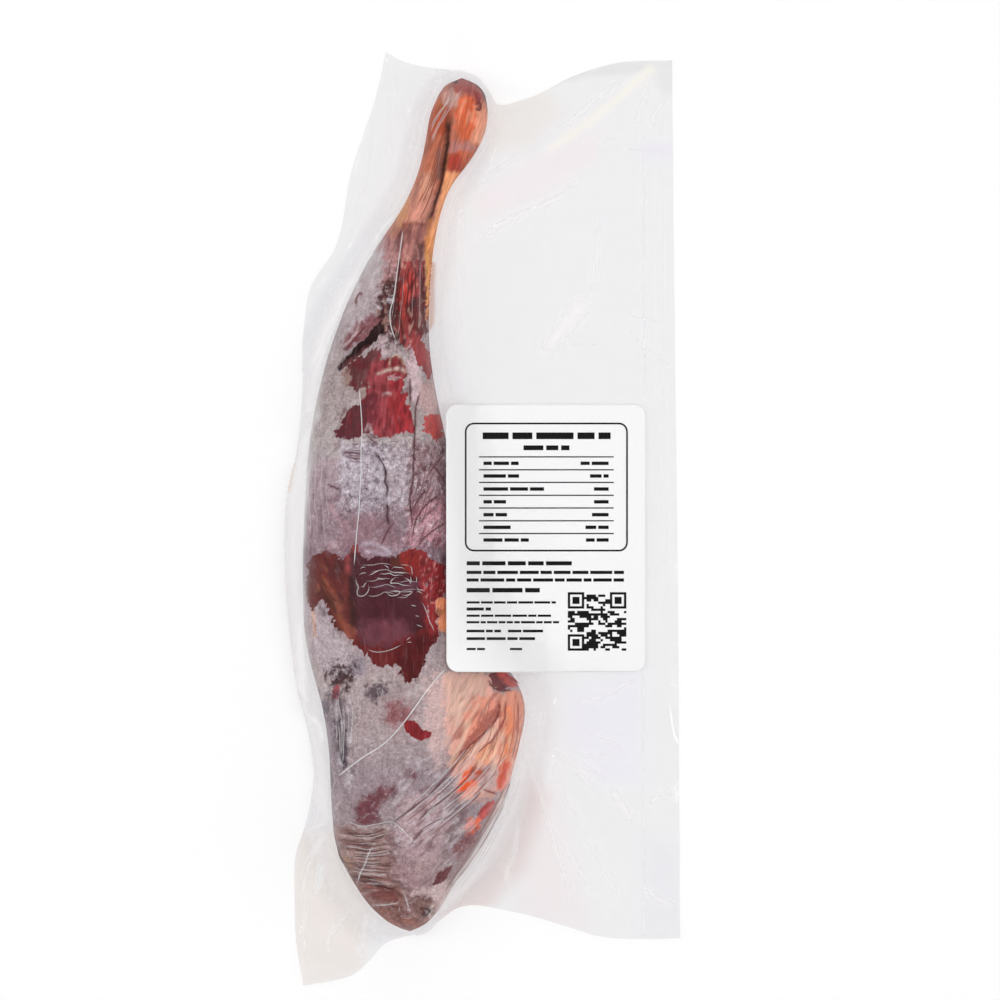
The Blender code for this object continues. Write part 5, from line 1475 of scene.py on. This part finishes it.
# Dark strips: partly darker meat, partly painted shade in the creases.
for code, width, line in creases:
    dark = light(code)
    half = 1000 * PIXEL * CREASE_SHARE * width
    for vert, in_middle, share, seen in ribbon(crease_bm, mutton_tree, line, half, CREASE_RISES):
        place = painted_places.find((*seen, 0))[1]
        around = bare[place] if clinging[place] > 0.5 else frosted[place]
        vert[crease_layer] = (*(around + (share * (dark - around) if in_middle else 0)), 1.0)
bmesh.ops.recalc_face_normals(crease_bm, faces=crease_bm.faces)
crease_material = new_material("dark meat and painted shade in creases")
crease_at = add_node(crease_material, "ShaderNodeAttribute", {"attribute_name": "crease"})
crease_shader = add_node(crease_material, "ShaderNodeBsdfDiffuse",
                         links={"Color": crease_at.outputs["Color"]})
surface(crease_material, crease_shader)
creased = make_object("meat_creases", crease_bm, crease_material)
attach(creased, "root")
print(len(creases), "creases")

# %% [markdown]
# The label is coated white paper, stuck flat over the film with well rounded corners. It takes the
# packed label's bend with a finer net, evened out, and gets the thickness of paper. Its edge is set so
# that it looks straight from above, as a stuck sheet does.

# %% The label's sheet
LABEL_LOW, LABEL_HIGH, LABEL_CORNER = (446.5, 672), (646, 404), 12
LABEL_COLUMNS, LABEL_ROWS = 88, 118
LABEL_ROUNDS = 8
PAPER = 0.0003


def round_off(px, py):
    """Pull a place near one of the label's corners inside the corner's arc."""
    middle = ((LABEL_LOW[0] + LABEL_HIGH[0]) / 2, (LABEL_LOW[1] + LABEL_HIGH[1]) / 2)
    half = ((LABEL_HIGH[0] - LABEL_LOW[0]) / 2, (LABEL_LOW[1] - LABEL_HIGH[1]) / 2)
    over = [max(0.0, abs(place - centre) - side + LABEL_CORNER) / LABEL_CORNER
            for place, centre, side in zip((px, py), middle, half)]
    pulled = [over[0] * math.sqrt(1 - over[1]**2 / 2), over[1] * math.sqrt(1 - over[0]**2 / 2)]
    reach = [min(abs(place - centre), side - LABEL_CORNER) + pull * LABEL_CORNER
             for place, centre, side, pull in zip((px, py), middle, half, pulled)]
    return [centre + math.copysign(out, place - centre)
            for place, centre, out in zip((px, py), middle, reach)]


label_bm = bmesh.new()
bmesh.ops.create_grid(label_bm, x_segments=LABEL_COLUMNS, y_segments=LABEL_ROWS, size=0.5)
for vert in label_bm.verts:
    px = LABEL_LOW[0] + (vert.co.x + 0.5) * (LABEL_HIGH[0] - LABEL_LOW[0])
    py = LABEL_LOW[1] + (vert.co.y + 0.5) * (LABEL_HIGH[1] - LABEL_LOW[1])
    px, py = round_off(px, py)
    height = 0.03
    for _ in range(3):
        x, y = to_table(px, py, height)
        hit = label_tree.ray_cast(Vector((x, y, 1.0)), DOWN)[0]
        height = hit.z if hit else label_tree.find_nearest(Vector((x, y, height)))[0].z
    vert.co = (x, y, height)
inner = [vert for vert in label_bm.verts if not vert.is_boundary]
for _ in range(LABEL_ROUNDS):
    bmesh.ops.smooth_vert(label_bm, verts=inner, factor=0.5,
                          use_axis_x=False, use_axis_y=False, use_axis_z=True)
label_bm.normal_update()
print("label net:", len(label_bm.faces), "cells")

# %% [markdown]
# Coated label paper is bright white with a faint tooth, and only a little gloss. The ink is a matt black.

# %% Paper and ink
PAPER_TOOTH = 0.0008
INK_TOOTH = 1 / 3000


def two_tones(material, tooth, detail, first, second):
    """A fine noise, and two colours that it mixes."""
    place = add_node(material, "ShaderNodeTexCoord")
    grain = add_node(material, "ShaderNodeTexNoise", sockets={"Scale": 0.5 / tooth, "Detail": detail},
                     links={"Vector": place.outputs["Object"]})
    mixed = add_node(material, "ShaderNodeMix", {"data_type": "RGBA"}, links={0: grain.outputs["Fac"]})
    mixed.inputs[6].default_value = colour(first)
    mixed.inputs[7].default_value = colour(second)
    return grain, mixed


paper = new_material("coated label paper")
tooth, paper_white = two_tones(paper, PAPER_TOOTH, 4.0, "#fafafa", "#ffffff")
paper_bump = add_node(paper, "ShaderNodeBump", sockets={"Strength": 0.05, "Distance": 0.0001},
                      links={"Height": tooth.outputs["Fac"]})
paper_shader = add_node(paper, "ShaderNodeBsdfPrincipled", sockets={"Roughness": 0.55, "IOR": 1.45},
                        links={"Base Color": paper_white.outputs[2], "Normal": paper_bump.outputs["Normal"]})
surface(paper, paper_shader)

ink = new_material("matt black ink")
_, ink_black = two_tones(ink, INK_TOOTH, 2.0, "#0c0c0c", "#1c1c1c")
ink_shader = add_node(ink, "ShaderNodeBsdfPrincipled", sockets={"Roughness": 0.7, "Specular IOR Level": 0.2},
                      links={"Base Color": ink_black.outputs[2]})
surface(ink, ink_shader)

label_sheet = make_object("label_sheet", label_bm, paper)
sheet_tree = BVHTree.FromObject(label_sheet, bpy.context.evaluated_depsgraph_get())
body = label_sheet.modifiers.new("paper", "SOLIDIFY")
body.thickness = PAPER
body.offset = -1
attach(label_sheet, "root")
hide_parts("label")

# %% [markdown]
# The print is plain shapes only: a rounded frame, rules, rows of bars where lines of words would be, and
# a square of seeded blocks. Each is a thin strip laid a hair above the paper, cut fine enough to
# follow the bend.

# %% Strips, blocks and the frame
INK_RISE = 0.00012
INK_CELL = 2.5
ink_bm = bmesh.new()


def ink_block(left, top, right, bottom):
    """Lay one filled rectangle of ink on the paper."""
    columns, rows = (max(1, math.ceil(abs(size) / INK_CELL)) for size in (right - left, bottom - top))
    before = set(ink_bm.verts)
    bmesh.ops.create_grid(ink_bm, x_segments=columns, y_segments=rows, size=0.5)
    for vert in set(ink_bm.verts) - before:
        px = left + (vert.co.x + 0.5) * (right - left)
        py = bottom + (vert.co.y + 0.5) * (top - bottom)
        vert.co = lay_on(sheet_tree, px, py, INK_RISE)


def ink_line(line, width):
    """Lay a closed line of ink round a rounded rectangle."""
    middle = np.array(line)
    ahead = np.roll(middle, -1, axis=0) - np.roll(middle, 1, axis=0)
    ahead /= np.linalg.norm(ahead, axis=1)[:, None]
    outward = np.stack([ahead[:, 1], -ahead[:, 0]], axis=1) * width / 2
    rings = [[ink_bm.verts.new(lay_on(sheet_tree, *(place + side * out), INK_RISE)) for place, out in
              zip(middle, outward)] for side in (1, -1)]
    loops = [[ink_bm.edges.new((ring[step - 1], ring[step])) for step in range(len(ring))] for ring in rings]
    bmesh.ops.bridge_loops(ink_bm, edges=loops[0] + loops[1])


def rounded_frame(left, top, right, bottom, radius):
    """Points at even steps round a rectangle with round corners."""
    points = []
    for x, y, start in ((right - radius, top + radius, -90), (right - radius, bottom - radius, 0),
                        (left + radius, bottom - radius, 90), (left + radius, top + radius, 180)):
        turns = [math.radians(start + turn) for turn in range(0, 91, 15)]
        points += [(x + radius * math.cos(turn), y + radius * math.sin(turn)) for turn in turns]
    closed = np.array([*points, points[0]])
    lengths = np.concatenate(([0.0], np.cumsum(np.linalg.norm(np.diff(closed, axis=0), axis=1))))
    places = np.linspace(0, lengths[-1], int(lengths[-1] / 2.0), endpoint=False)
    return np.stack([np.interp(places, lengths, closed[:, axis]) for axis in (0, 1)], axis=1)


ink_line(rounded_frame(465.7, 423.5, 627.0, 550.6, 8), 1.7)
for rule in (456.9, 469.8, 482.4, 495.3, 508.0, 520.8, 533.5):
    ink_block(479.0, rule - 0.6, 613.7, rule + 0.6)
print("frame and rules:", len(ink_bm.faces), "faces")

# %% Rows of bars in place of words
rng = random.Random(7)
WORD_ROWS = (
    # left, right, middle, height of the bars, all in pixels
    (482.7, 610.6, 435.8, 6.6), (523.5, 569.4, 447.8, 4.8),
    (483.5, 518.6, 463.3, 3.4), (580.6, 608.6, 463.3, 3.4), (483.5, 519.0, 476.0, 3.4),
     (590.0, 608.6, 476.0, 3.4),
    (483.5, 544.0, 489.0, 3.4), (594.0, 608.6, 489.0, 3.4), (483.5, 506.0, 501.8, 3.4),
     (594.0, 608.6, 501.8, 3.4),
    (483.5, 507.0, 514.7, 3.4), (592.0, 608.6, 514.7, 3.4), (483.5, 510.6, 527.3, 3.4),
     (585.5, 608.6, 527.3, 3.4),
    (483.5, 528.8, 540.0, 3.4), (586.0, 608.6, 540.0, 3.4),
    (466.7, 571.8, 563.3, 4.0), (466.7, 623.9, 572.4, 3.2), (466.7, 623.9, 580.0, 3.2),
     (466.7, 539.8, 590.2, 4.4),
    (466.7, 556.0, 602.4, 2.2), (466.7, 491.0, 609.0, 3.0), (466.7, 551.0, 615.7, 2.2),
     (466.7, 559.0, 622.2, 2.2),
    (466.7, 501.0, 631.0, 2.6), (508.0, 543.0, 631.0, 2.6), (466.7, 535.0, 638.6, 2.8),
     (466.7, 485.0, 649.0, 2.2),
    (510.0, 522.0, 649.0, 2.2),
)
for left, right, middle, tall in WORD_ROWS:
    place = left
    while place < right - tall:
        wide = tall * rng.uniform(2.2, 7.5)
        wide = right - place if right - place < wide + 2 * tall else wide
        ink_block(place, middle - tall / 2, place + wide, middle + tall / 2)
        place += wide + 0.6 * tall
print("with the word bars:", len(ink_bm.faces), "faces")

# %% A square of seeded blocks
CODE_LEFT, CODE_TOP, CODE_SIDE, CODE_CELLS = 567.8, 592.2, 58.5, 25
code_step = CODE_SIDE / CODE_CELLS
for row in range(CODE_CELLS):
    column = 0
    while column < CODE_CELLS:
        run = rng.randint(1, 3)
        near_corner = (min(row, CODE_CELLS - 1 - row) < 8 and min(column + run, CODE_CELLS - column) < 9
                       and not (row > 15 and column > 14))
        if rng.random() < 0.52 and not near_corner:
            run = min(run, CODE_CELLS - column)
            ink_block(CODE_LEFT + column * code_step, CODE_TOP + row * code_step,
                      CODE_LEFT + (column + run) * code_step, CODE_TOP + (row + 1) * code_step)
        column += run
for column, row in ((0, 0), (18, 0), (0, 18)):
    left, top = CODE_LEFT + column * code_step, CODE_TOP + row * code_step
    side = 7 * code_step
    ink_block(left, top, left + side, top + code_step)
    ink_block(left, top + side - code_step, left + side, top + side)
    ink_block(left, top + code_step, left + code_step, top + side - code_step)
    ink_block(left + side - code_step, top + code_step, left + side, top + side - code_step)
    ink_block(left + 2 * code_step, top + 2 * code_step, left + 5 * code_step, top + 5 * code_step)
bmesh.ops.recalc_face_normals(ink_bm, faces=ink_bm.faces)
label_print = make_object("label_print", ink_bm, ink)
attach(label_print, "root")
print("print:", len(label_print.data.polygons), "faces")
